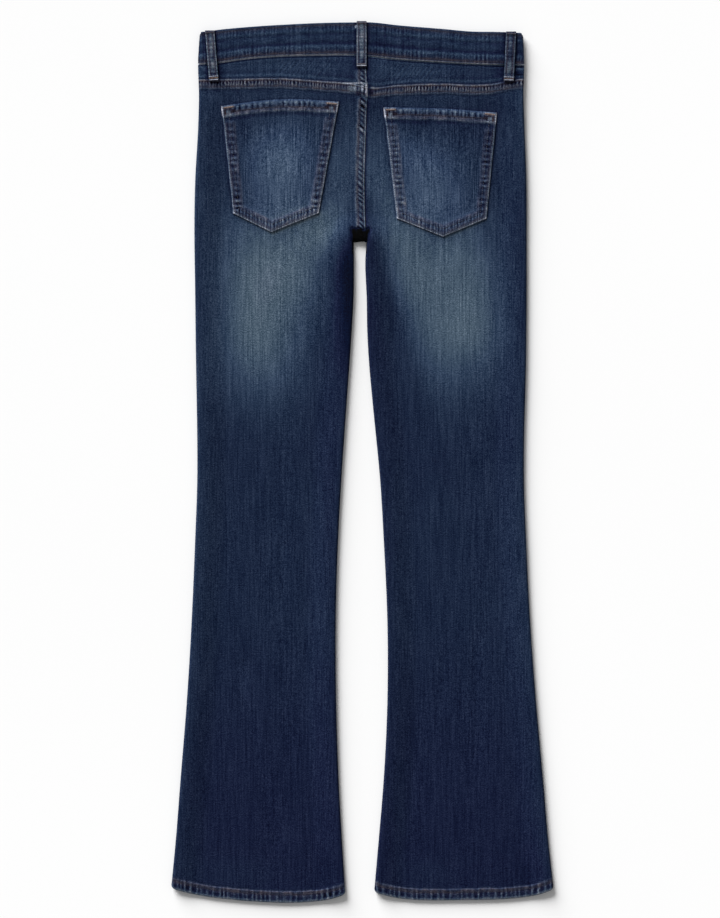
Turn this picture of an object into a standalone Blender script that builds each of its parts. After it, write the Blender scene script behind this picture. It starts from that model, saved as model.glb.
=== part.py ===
"""Bootcut jeans, laid flat on a table with the back up.

The garment is made as it is sewn: panels of denim with a small gap at each seam, lying on each other.
Sizes are in millimetres, and new_object() scales them to metres. +X is across, towards the wearer's
right. +Y runs up the garment to the waist, and +Z is up from the table. The sizes along the garment are
given as "down", the distance below the top of the waistband at the centre of the back.
"""

import math

import bmesh
import bpy
import numpy as np

MM = 0.001

# Driving sizes
TOP_Y = 550.5  # where down is 0, so that the garment is centred on the origin
DENIM = 1.0  # thickness of one layer
GAP = 0.3  # between the pieces at a seam, and between layers that lie on each other
CROTCH = 276.0  # down, at the blunt edge between the legs
SEAT_SEAM_X = 4.4  # the edge of the left back panel, which laps over the right one
FRONT_SEAM_X = 0.0
SEAM_BAND = 12.5  # width of a felled seam
SEAM_RAISE = 0.6  # how far the layers in a felled seam stand up
STEP = 0.8  # how wide the slope is where the thickness changes
HEM_HEIGHT = 14.0
HEM_TURN = 0.8  # the turned-up cloth in the hem, on the inside
HEM_RISE_FRONT, HEM_RISE_BACK = 2.0, 4.5  # how far above the hem the cloth starts to rise

# The silhouette. The inner edges run below the crotch only, and above it they keep its value.
OUTLINE_COLUMNS = ("down", "left_outer", "left_inner", "right_inner", "right_outer")
OUTLINE = (
    (13.0, -203.2, -11.5, 5.6, 201.2),
    (52.5, -205.4, -11.5, 5.6, 203.1),
    (91.0, -204.3, -11.5, 5.6, 202.3),
    (135.0, -205.5, -11.5, 5.6, 203.5),
    (197.5, -209.0, -11.5, 5.6, 205.2),
    (276.0, -210.0, -11.5, 5.6, 205.6),
    (347.5, -209.0, -12.0, 6.4, 205.6),
    (422.5, -208.1, -16.1, 8.6, 204.9),
    (510.0, -206.6, -22.3, 16.0, 202.6),
    (572.5, -206.5, -26.9, 22.3, 202.2),
    (647.5, -209.1, -30.6, 27.3, 204.9),
    (747.5, -213.4, -33.3, 31.2, 209.8),
    (847.5, -219.4, -32.8, 31.4, 217.1),
    (947.5, -227.4, -29.7, 27.0, 226.1),
    (1022.5, -233.3, -25.8, 20.8, 232.2),
    (1095.0, -240.3, -21.2, 14.2, 240.3),
)

# The lines that cross the back: the waistband's top and foot, and the seam under the yoke
CROSS_COLUMNS = ("x", "waist_top", "waist_foot", "yoke_foot")
CROSS_LINES = (
    (-206.0, 13.2, 52.3, 71.7),
    (-196.0, 13.1, 52.2, 71.7),
    (-150.0, 7.6, 46.2, 70.8),
    (-100.0, 3.8, 42.2, 70.2),
    (-55.0, 1.6, 41.2, 73.4),
    (-8.0, 0.4, 41.2, 77.9),
    (8.0, 0.4, 42.5, 81.5),
    (45.0, 4.2, 46.4, 78.8),
    (100.0, 9.4, 50.2, 77.0),
    (160.0, 12.2, 53.0, 77.4),
    (182.0, 12.8, 53.4, 73.6),
    (196.0, 13.4, 53.6, 71.4),
    (206.0, 13.6, 53.6, 70.8),
)

# The lower edge of each leg, by side: where its corners are, and how far its middle hangs below them
HEMS = {
    -1: dict(outer=1082.0, inner=1088.5, sag=15.2),
    1: dict(outer=1082.0, inner=1087.0, sag=13.2),
}
HEM_SAG_POWER = 3.4

# Heights over the table, by how far down the garment
WAISTBAND_WALL = 2.4  # two layers and their turnings
WAISTBAND_LOW = 2.6  # the front waistband lies over the button and the front loops
WAISTBAND_HIGH = WAISTBAND_LOW + 2 * WAISTBAND_WALL + GAP
WAISTBAND_ROUND = 0.8  # at its top edge
WAISTBAND_TURN = 6.0  # the last of each side that its turned rings hold
WAISTBAND_TURNS = (-90, -60, -30, 0, 30, 60, 90)
BAND_MIDDLE_DOWN = 30.0
FRONT_DIP = 28.0  # how much lower the waist is at the centre of the front
FRONT_LIFT = 2.9  # the front panels' outer face, where they meet the waistband
LIFT_FROM, LIFT_TO = 70.0, 150.0
HIP_STACK = 3 * DENIM + 2 * GAP  # front, pocket facing or zip, and back
LEG_STACK = 2 * DENIM + GAP
STACK_FROM, STACK_TO = 175.0, 245.0
WAIST_FOLD, SIDE_FOLD = 3.7, 6.4  # thickness of the fold at the sides
FOLD_FROM, FOLD_TO = 54.0, 130.0
FOLD_REACH = 40.0  # how far in from the edge the fold stands up

# Grids: rows down the garment, and columns across it
FOLD_ANGLES = (0.0, 45.0, 90.0)
MIDDLES = 3  # columns between the folds
LEG_MIDDLE_X = 104.0
YOKE_SHARES = (0.0, 0.4, 0.75, 1.0)
HIP_ROWS = (104.0, 120.0, 140.0, 165.0, 190.0, 215.0, 240.0, 258.0)
LEG_ROWS = (292.0, 325.0, 370.0, 430.0, 495.0, 560.0, 625.0, 695.0, 770.0, 845.0, 915.0, 980.0, 1045.0)

# Patch pockets on the back: corners as (x, down), and how far the top edge arches
POCKETS = {
    "left": dict(
        top_left=(-176.6, 105.9), top_right=(-29.3, 100.5), arch=6.0,
        low_left=(-162.3, 239.1), low_right=(-54.6, 239.1), tip=(-113.8, 263.0),
    ),
    "right": dict(
        top_left=(25.8, 107.4), top_right=(168.1, 114.0), arch=2.2,
        low_left=(42.0, 245.4), low_right=(155.0, 246.0), tip=(100.5, 268.6),
    ),
}
POCKET_RIM = 12.5
POCKET_HEM = 14.0
POCKET_RIM_RAISE = 0.6
POCKET_CLEAR = 0.6  # over the panel, whose facets aren't the pocket's own
POCKET_MIDDLES = (0.3, 0.5, 0.7)

# Belt loops: middle of the top end and of the foot as (x, down), and the width
BACK_LOOPS = {
    "belt_loop_back_left": dict(top=(-190.9, 11.0), foot=(-185.6, 75.0), width=12.0),
    "belt_loop_back_centre": dict(top=(-1.1, -0.8), foot=(-1.1, 57.3), width=13.0),
    "belt_loop_back_right": dict(top=(185.6, 12.0), foot=(182.6, 75.4), width=12.5),
}
LOOP_WALL = 1.5
LOOP_RISE = 0.9  # how far its middle stands off the waistband
LOOP_END_RAISE = 0.4  # where its ends are folded under
LOOP_FOOT = 6.0  # how much of it lies flat on the yoke
LOOP_BEVEL = 0.4
LOOP_SHARES = (0.0, 0.1, 0.2, 0.4, 0.6, 0.72, 0.84, 0.92, 1.0)
FRONT_LOOPS = {"belt_loop_front_left": -112.0, "belt_loop_front_right": 112.0}
FRONT_LOOP_WIDTH = 12.5
FRONT_LOOP_BELOW = 14.0  # how far its foot is below the waistband
FRONT_LOOP_RISE = 0.6

# Front pockets and fly
SCOOP_WIDTH, SCOOP_DEPTH = 92.0, 73.0
SCOOP_ANGLES = (0.0, 24.0, 46.0, 64.0, 76.0, 82.0, 90.0)
SCOOP_LAP = 10.0  # how far the facing runs behind the front panel
SCOOP_CLEAR = 2.0  # it is fully behind this far before the mouth
FLAP_END_X = 14.0  # where the waistband's buttoned end stops
ZIP_HALF_WIDTH, ZIP_LENGTH, ZIP_TAPE = 13.0, 92.0, 0.5
ZIP_CHAIN_HALF, ZIP_CHAIN_SLOPE, ZIP_CHAIN_HEIGHT = 2.5, 0.4, 0.4
ZIP_ABOVE_SLIDER = 1.5
SLIDER_BELOW_BAND = 4.0
SLIDER_LENGTH, SLIDER_HALF_WIDTH, SLIDER_HEIGHT = 11.0, 4.0, 1.6
# The slider's sections, as (place along it, share of its width, share of its height)
SLIDER_SECTIONS = ((0.0, 0.75, 0.75), (0.25, 1.0, 1.0), (0.75, 0.8, 1.0), (1.0, 0.6, 0.75))
SLIDER_ROOM, SLIDER_ROOM_REACH = 1.5, 34.0  # how far the back rises over the slider, and how widely
BUTTON_RADIUS, BUTTON_CAP, BUTTON_EDGE, SHANK_RADIUS = 8.5, 2.0, 0.5, 4.0

MATERIALS = {
    "denim": dict(color=(0.022, 0.036, 0.078), roughness=0.85, metallic=0.0),
    "denim_worn": dict(color=(0.05, 0.08, 0.13), roughness=0.85, metallic=0.0),
    "zip_tape": dict(color=(0.02, 0.03, 0.06), roughness=0.8, metallic=0.0),
    "brass": dict(color=(0.42, 0.30, 0.14), roughness=0.35, metallic=1.0),
}


# ---------------------------------------------------------------- curves and heights


def curve_through(xs, ys, x):
    """A smooth curve through the points (xs, ys): cubic pieces with averaged slopes."""
    xs, ys = np.asarray(xs, float), np.asarray(ys, float)
    x = min(max(x, xs[0]), xs[-1])
    slopes = np.gradient(ys, xs)
    k = min(int(np.searchsorted(xs, x, side="right")) - 1, len(xs) - 2)
    step = xs[k + 1] - xs[k]
    t = (x - xs[k]) / step
    start, end = (2 * t**3 - 3 * t**2 + 1) * ys[k], (3 * t**2 - 2 * t**3) * ys[k + 1]
    bend = (t**3 - 2 * t**2 + t) * slopes[k] + (t**3 - t**2) * slopes[k + 1]
    return float(start + end + step * bend)


def from_table(rows, columns, name, at):
    """A column of a table, read at a value of its first column."""
    picked = columns.index(name)
    return curve_through([r[0] for r in rows], [r[picked] for r in rows], at)


def outer_x(side, down):
    name = "left_outer" if side < 0 else "right_outer"
    return from_table(OUTLINE, OUTLINE_COLUMNS, name, down)


def inner_x(side, down):
    name = "left_inner" if side < 0 else "right_inner"
    return from_table(OUTLINE, OUTLINE_COLUMNS, name, max(down, CROTCH))


def cross_line(name, x):
    return from_table(CROSS_LINES, CROSS_COLUMNS, name, x)


def hem_down(side, across):
    """The leg's lower edge, across running from 0 at the outer corner to 1 at the inner one."""
    hem = HEMS[side]
    sag = hem["sag"] * (1 - abs(2 * across - 1) ** HEM_SAG_POWER)
    return hem["outer"] + (hem["inner"] - hem["outer"]) * across + sag


def front_dip(x):
    """How much lower the front waist is than the back one. It is nothing at the sides."""
    return FRONT_DIP * max(0.0, 1 - (x / outer_x(1, BAND_MIDDLE_DOWN)) ** 2) ** 1.5


def ease(value, start, end):
    """0 before start and 1 after end, with no corner between."""
    t = min(max((value - start) / (end - start), 0.0), 1.0)
    return t * t * (3 - 2 * t)


def lift(down):
    """Height of the front panels' outer face."""
    return FRONT_LIFT * (1 - ease(down, LIFT_FROM, LIFT_TO))


def stack(down):
    """Thickness of the layers in the middle of the garment."""
    return HIP_STACK + (LEG_STACK - HIP_STACK) * ease(down, STACK_FROM, STACK_TO)


def fold_radius(down):
    return (WAIST_FOLD + (SIDE_FOLD - WAIST_FOLD) * ease(down, FOLD_FROM, FOLD_TO)) / 2


def slider_top():
    """Down, at the upper end of the zip's slider."""
    return cross_line("waist_foot", 0.0) + front_dip(0.0) + SLIDER_BELOW_BAND


def slider_room(x, down):
    middle = slider_top() + SLIDER_LENGTH / 2
    away = math.hypot(x, down - middle) / SLIDER_ROOM_REACH
    return SLIDER_ROOM * math.exp(-away * away)


# ---------------------------------------------------------------- the laid-flat surface


def nearest_edge(side, x, down):
    """Distance in from the silhouette, and the direction (x, y) that leads in from it."""
    found = [(side * (outer_x(side, down) - x), (-side, 0.0))]
    corner = inner_x(side, CROTCH)
    beside = side * (x - corner)
    above = CROTCH - down
    if above <= 0:
        found.append((side * (x - inner_x(side, down)), (side, 0.0)))
    elif beside <= 0:
        found.append((above, (0.0, 1.0)))
    else:
        away = math.hypot(beside, above)
        found.append((away, (side * beside / away, above / away)))
    return min(found)


def on_cloth(side, x, down, back, raised=0.0, turned=0.0, sunk=0.0):
    """The two faces of the cloth over a point: outer and inner, as (x, y, z).

    back is True for the panels on top and False for the front ones, which lie on the table. raised
    lifts the outer face, as over a felled seam. turned thickens the cloth on the inside, as in a hem,
    and sunk moves both faces into the garment.
    """
    distance, (to_x, to_y) = nearest_edge(side, x, down)
    y, radius, low = TOP_Y - down, fold_radius(down), lift(down)
    if distance < radius:
        least = math.asin(GAP / 2 / (radius - DENIM))
        angle = max(math.acos(1 - max(distance, 0.0) / radius), least)
        faces = []
        for reach in (radius + raised * math.sin(angle), radius - DENIM):
            inwards = radius - reach * math.cos(angle) - distance
            up = reach * math.sin(angle) * (1 if back else -1)
            faces.append((x + to_x * inwards, y + to_y * inwards, low + radius + up))
        return faces
    if not back:
        return [(x, y, low + sunk), (x, y, low + sunk + DENIM + turned)]
    flat = stack(down) + slider_room(x, down) + 2 * turned
    share = min((distance - radius) / (FOLD_REACH - radius), 1.0)
    stands = max(2 * radius - flat, 0.0) * (1 + math.cos(math.pi * share)) / 2
    top = low + flat + stands
    return [(x, y, top + raised), (x, y, top - DENIM - turned)]


def back_height(x, down):
    """Top of the back panels and yokes, without any raised seam."""
    side = -1 if x < SEAT_SEAM_X else 1
    return on_cloth(side, x, down, back=True)[0][2]


# ---------------------------------------------------------------- making objects


def material(name):
    found = bpy.data.materials.get(name)
    if found:
        return found
    made = bpy.data.materials.new(name)
    made.use_nodes = True
    shader = made.node_tree.nodes["Principled BSDF"]
    shader.inputs["Base Color"].default_value = (*MATERIALS[name]["color"], 1.0)
    shader.inputs["Roughness"].default_value = MATERIALS[name]["roughness"]
    shader.inputs["Metallic"].default_value = MATERIALS[name]["metallic"]
    return made


def new_object(name, bm, material_name):
    """Turns a bmesh in millimetres into an object in metres, with its faces pointing out."""
    bmesh.ops.recalc_face_normals(bm, faces=bm.faces)
    bmesh.ops.scale(bm, vec=(MM, MM, MM), verts=bm.verts)
    mesh = bpy.data.meshes.new(name)
    bm.to_mesh(mesh)
    bm.free()
    mesh.materials.append(material(material_name))
    mesh.shade_smooth()
    mesh.set_sharp_from_angle(angle=math.radians(40))
    made = bpy.data.objects.new(name, mesh)
    bpy.context.scene.collection.objects.link(made)
    return made


def sheet(name, grid, material_name="denim"):
    """A closed sheet of cloth from a grid of (outer, inner) points.

    Rows may be shorter than those above them, and then the sheet steps in there.
    """
    bm = bmesh.new()
    corners = [[[bm.verts.new(p) for p in pair] for pair in row] for row in grid]
    edges = {}
    for i in range(len(grid) - 1):
        for j in range(min(len(grid[i]), len(grid[i + 1])) - 1):
            ring = [(i, j), (i, j + 1), (i + 1, j + 1), (i + 1, j)]
            bm.faces.new([corners[r][c][0] for r, c in ring])
            bm.faces.new([corners[r][c][1] for r, c in reversed(ring)])
            for start, end in zip(ring, ring[1:] + ring[:1]):
                edges[start, end] = edges.pop((end, start), None) is None
    for (start, end), open_edge in edges.items():
        if open_edge:
            (r, c), (s, d) = start, end
            bm.faces.new([corners[s][d][0], corners[r][c][0], corners[r][c][1], corners[s][d][1]])
    return new_object(name, bm, material_name)


def bar(name, rings, material_name):
    """A closed solid through rings of points, with a cap at each end."""
    bm = bmesh.new()
    loops = [[bm.verts.new(p) for p in ring] for ring in rings]
    for first, second in zip(loops, loops[1:]):
        for k in range(len(first)):
            n = (k + 1) % len(first)
            bm.faces.new([first[k], first[n], second[n], second[k]])
    bm.faces.new(loops[0])
    bm.faces.new(loops[-1])
    return new_object(name, bm, material_name)


# ---------------------------------------------------------------- panels


def columns_between(start, end, radius):
    """x values from one fold to another: over each fold, down its slope, and evenly between."""
    sign = 1 if end > start else -1
    width = abs(end - start)
    fold = [radius * (1 - math.cos(math.radians(a))) for a in FOLD_ANGLES]
    fold += [(radius + FOLD_REACH) / 2, FOLD_REACH]
    middles = np.linspace(FOLD_REACH, width - FOLD_REACH, MIDDLES + 2)[1:-1]
    return [start + sign * o for o in (*fold, *middles, *(width - f for f in reversed(fold)))]


def leg_row(side, down_at, back, seam_x, seam_columns=(), raised=0.0, turned=0.0):
    """One row of a panel from its outer edge to its inner edge or, above the crotch, to its seam.

    down_at(x) is the row's own line, and seam_columns are (x, raised).
    """
    down = down_at(side * LEG_MIDDLE_X)
    outer_edge, inner_edge = outer_x(side, down), inner_x(side, down)
    columns = [(x, raised) for x in columns_between(outer_edge, inner_edge, fold_radius(down))]
    if down <= CROTCH:
        columns += [(x, max(raised, extra)) for x, extra in seam_columns]
        columns.append((seam_x, columns[-1][1]))
    row = []
    for x, height in columns:
        at = down_at(x)
        share = (x - inner_edge) / (outer_edge - inner_edge)
        shift = (outer_x(side, at) - outer_edge) * max(share, 0.0)
        row.append(on_cloth(side, x + shift, at, back, height, turned))
    return row


def back_seam(side):
    """The seat seam's x on one panel, and the columns of the band that is felled beside it."""
    if side > 0:
        return SEAT_SEAM_X + GAP, []
    band = SEAT_SEAM_X - SEAM_BAND
    return SEAT_SEAM_X, [(band - STEP, 0.0), (band, SEAM_RAISE)]


def crotch_rows():
    """Rows that follow the blunt edge between the legs as it turns under."""
    radius = fold_radius(CROTCH)
    return [CROTCH - radius * (1 - math.cos(math.radians(a))) for a in reversed(FOLD_ANGLES)]


def level(down):
    return lambda x: down


def below_yoke(offset):
    return lambda x: cross_line("yoke_foot", x) + offset


def above_hem(side, height):
    """The line that lies this height above the leg's lower edge."""
    corner_down = (HEMS[side]["outer"] + HEMS[side]["inner"]) / 2
    start, end = outer_x(side, corner_down), inner_x(side, corner_down)

    def down_at(x):
        across = min(max((x - start) / (end - start), 0.0), 1.0)
        return hem_down(side, across) - height

    return down_at


def shared_rows():
    """The level rows that the back and front panels both have."""
    return [level(d) for d in (*HIP_ROWS, *crotch_rows(), *LEG_ROWS)]


def back_panel_grid(side):
    """A back leg panel: felled seam under the yoke, the seat, the leg and the turned-up hem."""
    rows = [
        (below_yoke(GAP), SEAM_RAISE, 0.0),
        (below_yoke(SEAM_BAND - STEP), SEAM_RAISE, 0.0),
        (below_yoke(SEAM_BAND), 0.0, 0.0),
    ]
    rows += [(line, 0.0, 0.0) for line in shared_rows()]
    rows += [
        (above_hem(side, HEM_HEIGHT + HEM_RISE_BACK), 0.0, 0.0),
        (above_hem(side, HEM_HEIGHT), 0.0, HEM_TURN),
        (above_hem(side, 0.0), 0.0, HEM_TURN),
    ]
    return [leg_row(side, line, True, *back_seam(side), raised, turned) for line, raised, turned in rows]


def yoke_grid(side):
    """A back yoke, from the waistband's foot to the felled seam."""

    def line_at(share):
        def down_at(x):
            top = cross_line("waist_foot", x) + GAP
            return top + (cross_line("yoke_foot", x) - top) * share

        return down_at

    return [leg_row(side, line_at(share), True, *back_seam(side)) for share in YOKE_SHARES]


def under_front_band(x):
    return cross_line("waist_foot", x) + front_dip(x) + GAP


def scoop_downs(side):
    """Heights down the curved mouth of a front pocket, from the waistband to the side seam."""
    start = under_front_band(outer_x(side, CROSS_LINES[0][2]))
    return [start + SCOOP_DEPTH * math.sin(math.radians(a)) for a in SCOOP_ANGLES]


def scoop_x(side, down):
    """The mouth's edge at one height: a quarter of an ellipse."""
    share = min(max((down - scoop_downs(side)[0]) / SCOOP_DEPTH, 0.0), 1.0)
    return outer_x(side, down) - side * SCOOP_WIDTH * math.sqrt(1 - share * share)


def fan_rows(xs, k, downs):
    """The row k of several that fan out from the curved line under the waistband to a level one."""
    share = (1 - k / (len(downs) - 1)) ** 1.5
    return [downs[k] + max(under_front_band(x) - downs[0], 0.0) * share for x in xs]


def front_panel_grid(side):
    """A front leg panel, with its upper outer corner cut away for the pocket."""
    seam_x = FRONT_SEAM_X + side * GAP / 2
    downs = scoop_downs(side)
    grid = []
    for k, down in enumerate(downs):
        xs = columns_between(scoop_x(side, down), inner_x(side, down), fold_radius(down))
        xs.append(seam_x)
        grid.append([on_cloth(side, x, at, back=False) for x, at in zip(xs, fan_rows(xs, k, downs))])
    rows = [(line, 0.0) for line in shared_rows() if line(0) > downs[-1] + SCOOP_LAP]
    rows += [
        (above_hem(side, HEM_HEIGHT + HEM_RISE_FRONT), 0.0),
        (above_hem(side, HEM_HEIGHT), HEM_TURN),
        (above_hem(side, 0.0), HEM_TURN),
    ]
    return grid + [leg_row(side, line, False, seam_x, turned=turned) for line, turned in rows]


def facing_grid(side):
    """The denim that shows in a front pocket's mouth. It steps in behind the front panel."""
    downs = scoop_downs(side)[:-1]
    downs[-1] -= GAP
    grid = []
    for k, down in enumerate(downs):
        edge, mouth, radius = outer_x(side, down), scoop_x(side, down), fold_radius(down)
        turn = [edge - side * radius * (1 - math.cos(math.radians(a))) for a in FOLD_ANGLES]
        room = abs(mouth - turn[-1])
        xs = turn + [turn[-1] - side * room * part for part in (0.35, 0.7)]
        xs += [mouth + side * SCOOP_CLEAR, mouth - side * SCOOP_LAP]
        row = []
        for x, at in zip(xs, fan_rows(xs, k, downs)):
            behind = ease(abs(x - turn[-1]), room * 0.3, room - SCOOP_CLEAR)
            row.append(on_cloth(side, x, at, back=False, sunk=behind * (DENIM + GAP)))
        grid.append(row)
    return grid


# ---------------------------------------------------------------- waistband, loops and pockets


def columns_of(*grids):
    """Where the top rows of these panels have their points, left to right, between the folded sides."""
    xs = sorted(outer[0] for grid in grids for outer, inner in grid[0])
    left, right = (outer_x(side, BAND_MIDDLE_DOWN) - side * WAISTBAND_TURN for side in (-1, 1))
    picked = [x for x in xs if left < x < right]
    return [x for x, following in zip(picked, picked[1:] + [math.inf]) if following - x > GAP * 2]


def waistband(name, back_columns, front_columns):
    """One band, folded at the top, that runs round both sides to the front and butts at its flap."""
    wall, low, high = WAISTBAND_WALL, WAISTBAND_LOW, WAISTBAND_HIGH
    middle, radius = (low + high) / 2, (high - low) / 2

    def profile(top, foot):
        """The band's own section as (down, depth), depth going from 0 outside to 1 inside."""
        rounded = top + WAISTBAND_ROUND
        return ((foot, 0.0), (rounded, 0.0), (top, 0.35), (top, 0.65), (rounded, 1.0), (foot, 1.0))

    def flat_ring(x, front):
        dip = front_dip(x) if front else 0.0
        section = profile(cross_line("waist_top", x) + dip, cross_line("waist_foot", x) + dip)
        return [(x, TOP_Y - down, low + wall * d if front else high - wall * d) for down, d in section]

    def turned_ring(side, degrees):
        angle, beside = math.radians(degrees), outer_x(side, BAND_MIDDLE_DOWN) - side * radius
        ring = []
        for down, depth in profile(cross_line("waist_top", beside), cross_line("waist_foot", beside)):
            reach = radius - wall * depth
            edge = outer_x(side, down) - side * radius
            x, z = edge + side * reach * math.cos(angle), middle + reach * math.sin(angle)
            ring.append((x, TOP_Y - down, z))
        return ring

    rings = [flat_ring(FLAP_END_X - GAP, True)]
    rings += [flat_ring(x, True) for x in reversed(front_columns) if x < FLAP_END_X - STEP]
    rings += [turned_ring(-1, a) for a in WAISTBAND_TURNS]
    rings += [flat_ring(x, False) for x in back_columns]
    rings += [turned_ring(1, -a) for a in WAISTBAND_TURNS]
    rings += [flat_ring(x, True) for x in reversed(front_columns) if x > FLAP_END_X + STEP]
    rings += [flat_ring(FLAP_END_X, True)]
    return bar(name, rings, "denim")


def loop_rings(top, foot, width, heights):
    """Rings of a belt loop along its length. heights(share, x, down) gives its two faces."""
    rings = []
    for share in LOOP_SHARES:
        x = top[0] + (foot[0] - top[0]) * share
        down = top[1] + (foot[1] - top[1]) * share
        under, over = heights(share, x, down)
        half, y = width / 2, TOP_Y - down
        bevelled = over - math.copysign(LOOP_BEVEL, over - under)
        rings.append([
            (x - half, y, under), (x - half, y, bevelled), (x - half + LOOP_BEVEL, y, over),
            (x + half - LOOP_BEVEL, y, over), (x + half, y, bevelled), (x + half, y, under),
        ])
    return rings


def back_loop(name, top, foot, width):
    """A belt loop that starts at the waistband's top and ends below its foot, on the yoke."""
    on_band = WAISTBAND_HIGH + GAP
    reaches_yoke = foot[1] - LOOP_FOOT

    def heights(share, x, down):
        beside = max(back_height(x - width / 2, down), back_height(x + width / 2, down))
        on_yoke = beside + SEAM_RAISE + GAP
        past_band = ease(down, cross_line("waist_foot", x), reaches_yoke)
        rise = LOOP_RISE * math.sin(math.pi * min(down / reaches_yoke, 1.0)) ** 2
        under = max(on_band + (on_yoke - on_band) * past_band, on_yoke) + rise
        return under, under + LOOP_WALL + (LOOP_END_RAISE if share in (0.0, 1.0) else 0.0)

    return bar(name, loop_rings(top, foot, width, heights), "denim_worn")


def front_loop(name, x):
    """A belt loop on the front, under the waistband, where it lies on the table."""
    top = (x, cross_line("waist_top", x) + front_dip(x) + GAP)
    foot = (x, cross_line("waist_foot", x) + front_dip(x) + FRONT_LOOP_BELOW)

    def heights(share, at_x, down):
        return WAISTBAND_LOW - GAP - FRONT_LOOP_RISE * math.sin(math.pi * share) ** 2, 0.0

    return bar(name, loop_rings(top, foot, FRONT_LOOP_WIDTH, heights), "denim_worn")


def mix(a, b, share):
    return tuple(p + (q - p) * share for p, q in zip(a, b))


def patch_pocket(name, top_left, top_right, arch, low_left, low_right, tip):
    """A patch pocket: a sheet on the back panel, thicker where its edges are turned in."""
    width, height = top_right[0] - top_left[0], tip[1] - top_left[1]
    tip_share = (tip[0] - low_left[0]) / (low_right[0] - low_left[0])

    def shares(first_rim, middles, last_rim, length):
        """Places across or down as (share, on the rim), with a step after each rim."""
        first, last, step = first_rim / length, 1 - last_rim / length, STEP / length
        inner = [(first + step, False), *((m, False) for m in middles), (last - step, False)]
        return [(0.0, True), (first, True), *inner, (last, True), (1.0, True)]

    def low_edge(u):
        if u <= tip_share:
            return mix(low_left, tip, u / tip_share)
        return mix(tip, low_right, (u - tip_share) / (1 - tip_share))

    across = shares(POCKET_RIM, (tip_share / 2, tip_share, (1 + tip_share) / 2), POCKET_RIM, width)
    grid = []
    for v, on_hem in shares(POCKET_HEM, POCKET_MIDDLES, POCKET_RIM, height):
        row = []
        for u, on_side in across:
            top_x, top_down = mix(top_left, top_right, u)
            x, down = mix((top_x, top_down - arch * math.sin(math.pi * u)), low_edge(u), v)
            under = back_height(x, down) + POCKET_CLEAR
            over = under + DENIM + (POCKET_RIM_RAISE if on_hem or on_side else 0.0)
            row.append([(x, TOP_Y - down, over), (x, TOP_Y - down, under)])
        grid.append(row)
    return sheet(name, grid, "denim_worn")


# ---------------------------------------------------------------- fly


def behind_fly(down):
    """The point (y, z) where the zip's tape lies on the inner face of the front panels."""
    return TOP_Y - down, lift(down) + DENIM + GAP


def fly_zip(name):
    """The zip's tape, which lies behind the centre of the front, with its chain below the slider."""
    top, chain_top = slider_top() - ZIP_ABOVE_SLIDER, slider_top() + SLIDER_LENGTH + GAP
    half, chain = ZIP_HALF_WIDTH, ZIP_CHAIN_HALF
    sections = [(top, 0.0), (chain_top - GAP / 2, 0.0)]
    sections += [(down, ZIP_CHAIN_HEIGHT) for down in np.linspace(chain_top, top + ZIP_LENGTH, 5)]
    rings = []
    for down, high in sections:
        y, z = behind_fly(down)
        tape, slope = z + ZIP_TAPE, chain + ZIP_CHAIN_SLOPE
        rings.append([
            (-half, y, z), (-half, y, tape), (-slope, y, tape), (-chain, y, tape + high),
            (chain, y, tape + high), (slope, y, tape), (half, y, tape), (half, y, z),
        ])
    return bar(name, rings, "zip_tape")


def zip_slider(name):
    """The slider at the top of the closed zip, with its pull lying along it."""
    rings = []
    for along, wide, high in SLIDER_SECTIONS:
        y, tape_z = behind_fly(slider_top() + SLIDER_LENGTH * along)
        half, z = SLIDER_HALF_WIDTH * wide, tape_z + ZIP_TAPE + GAP
        top = z + SLIDER_HEIGHT * high
        rings.append([(-half, y, z), (-half, y, top), (half, y, top), (half, y, z)])
    return bar(name, rings, "brass")


def waist_button(name):
    """A shank button under the waistband's flap, turned from its profile."""
    middle_down = (cross_line("waist_top", 0.0) + cross_line("waist_foot", 0.0)) / 2 + front_dip(0.0)
    shank_top = WAISTBAND_LOW - GAP
    profile = [
        (0.0, 0.0), (BUTTON_RADIUS - 2 * BUTTON_EDGE, 0.0), (BUTTON_RADIUS, BUTTON_EDGE),
        (BUTTON_RADIUS, BUTTON_CAP - BUTTON_EDGE), (BUTTON_RADIUS - BUTTON_EDGE, BUTTON_CAP),
        (SHANK_RADIUS, BUTTON_CAP), (SHANK_RADIUS, shank_top), (0.0, shank_top),
    ]
    bm = bmesh.new()
    verts = [bm.verts.new((r, 0.0, z)) for r, z in profile]
    edges = [bm.edges.new(pair) for pair in zip(verts, verts[1:])]
    bmesh.ops.spin(bm, geom=verts + edges, cent=(0, 0, 0), axis=(0, 0, 1), angle=2 * math.pi, steps=16)
    bmesh.ops.remove_doubles(bm, verts=bm.verts, dist=MM)
    bmesh.ops.translate(bm, vec=(0.0, TOP_Y - middle_down, 0.0), verts=bm.verts)
    return new_object(name, bm, "brass")


# ---------------------------------------------------------------- the garment


def clear_scene():
    for old in list(bpy.data.objects):
        bpy.data.objects.remove(old)


def build():
    clear_scene()
    grids = {}
    for word, side in (("left", -1), ("right", 1)):
        grids[f"yoke_{word}"] = yoke_grid(side)
        grids[f"back_panel_{word}"] = back_panel_grid(side)
        grids[f"front_panel_{word}"] = front_panel_grid(side)
        grids[f"front_pocket_facing_{word}"] = facing_grid(side)
        patch_pocket(f"back_pocket_{word}", **POCKETS[word])
    for name, grid in grids.items():
        sheet(name, grid)
    back_columns = columns_of(grids["yoke_left"], grids["yoke_right"])
    front_columns = columns_of(*(grid for name, grid in grids.items() if name.startswith("front")))
    waistband("waistband", back_columns, front_columns)
    for name, sizes in BACK_LOOPS.items():
        back_loop(name, **sizes)
    for name, x in FRONT_LOOPS.items():
        front_loop(name, x)
    fly_zip("fly_zip")
    zip_slider("zip_slider")
    waist_button("waist_button")


build()
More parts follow.
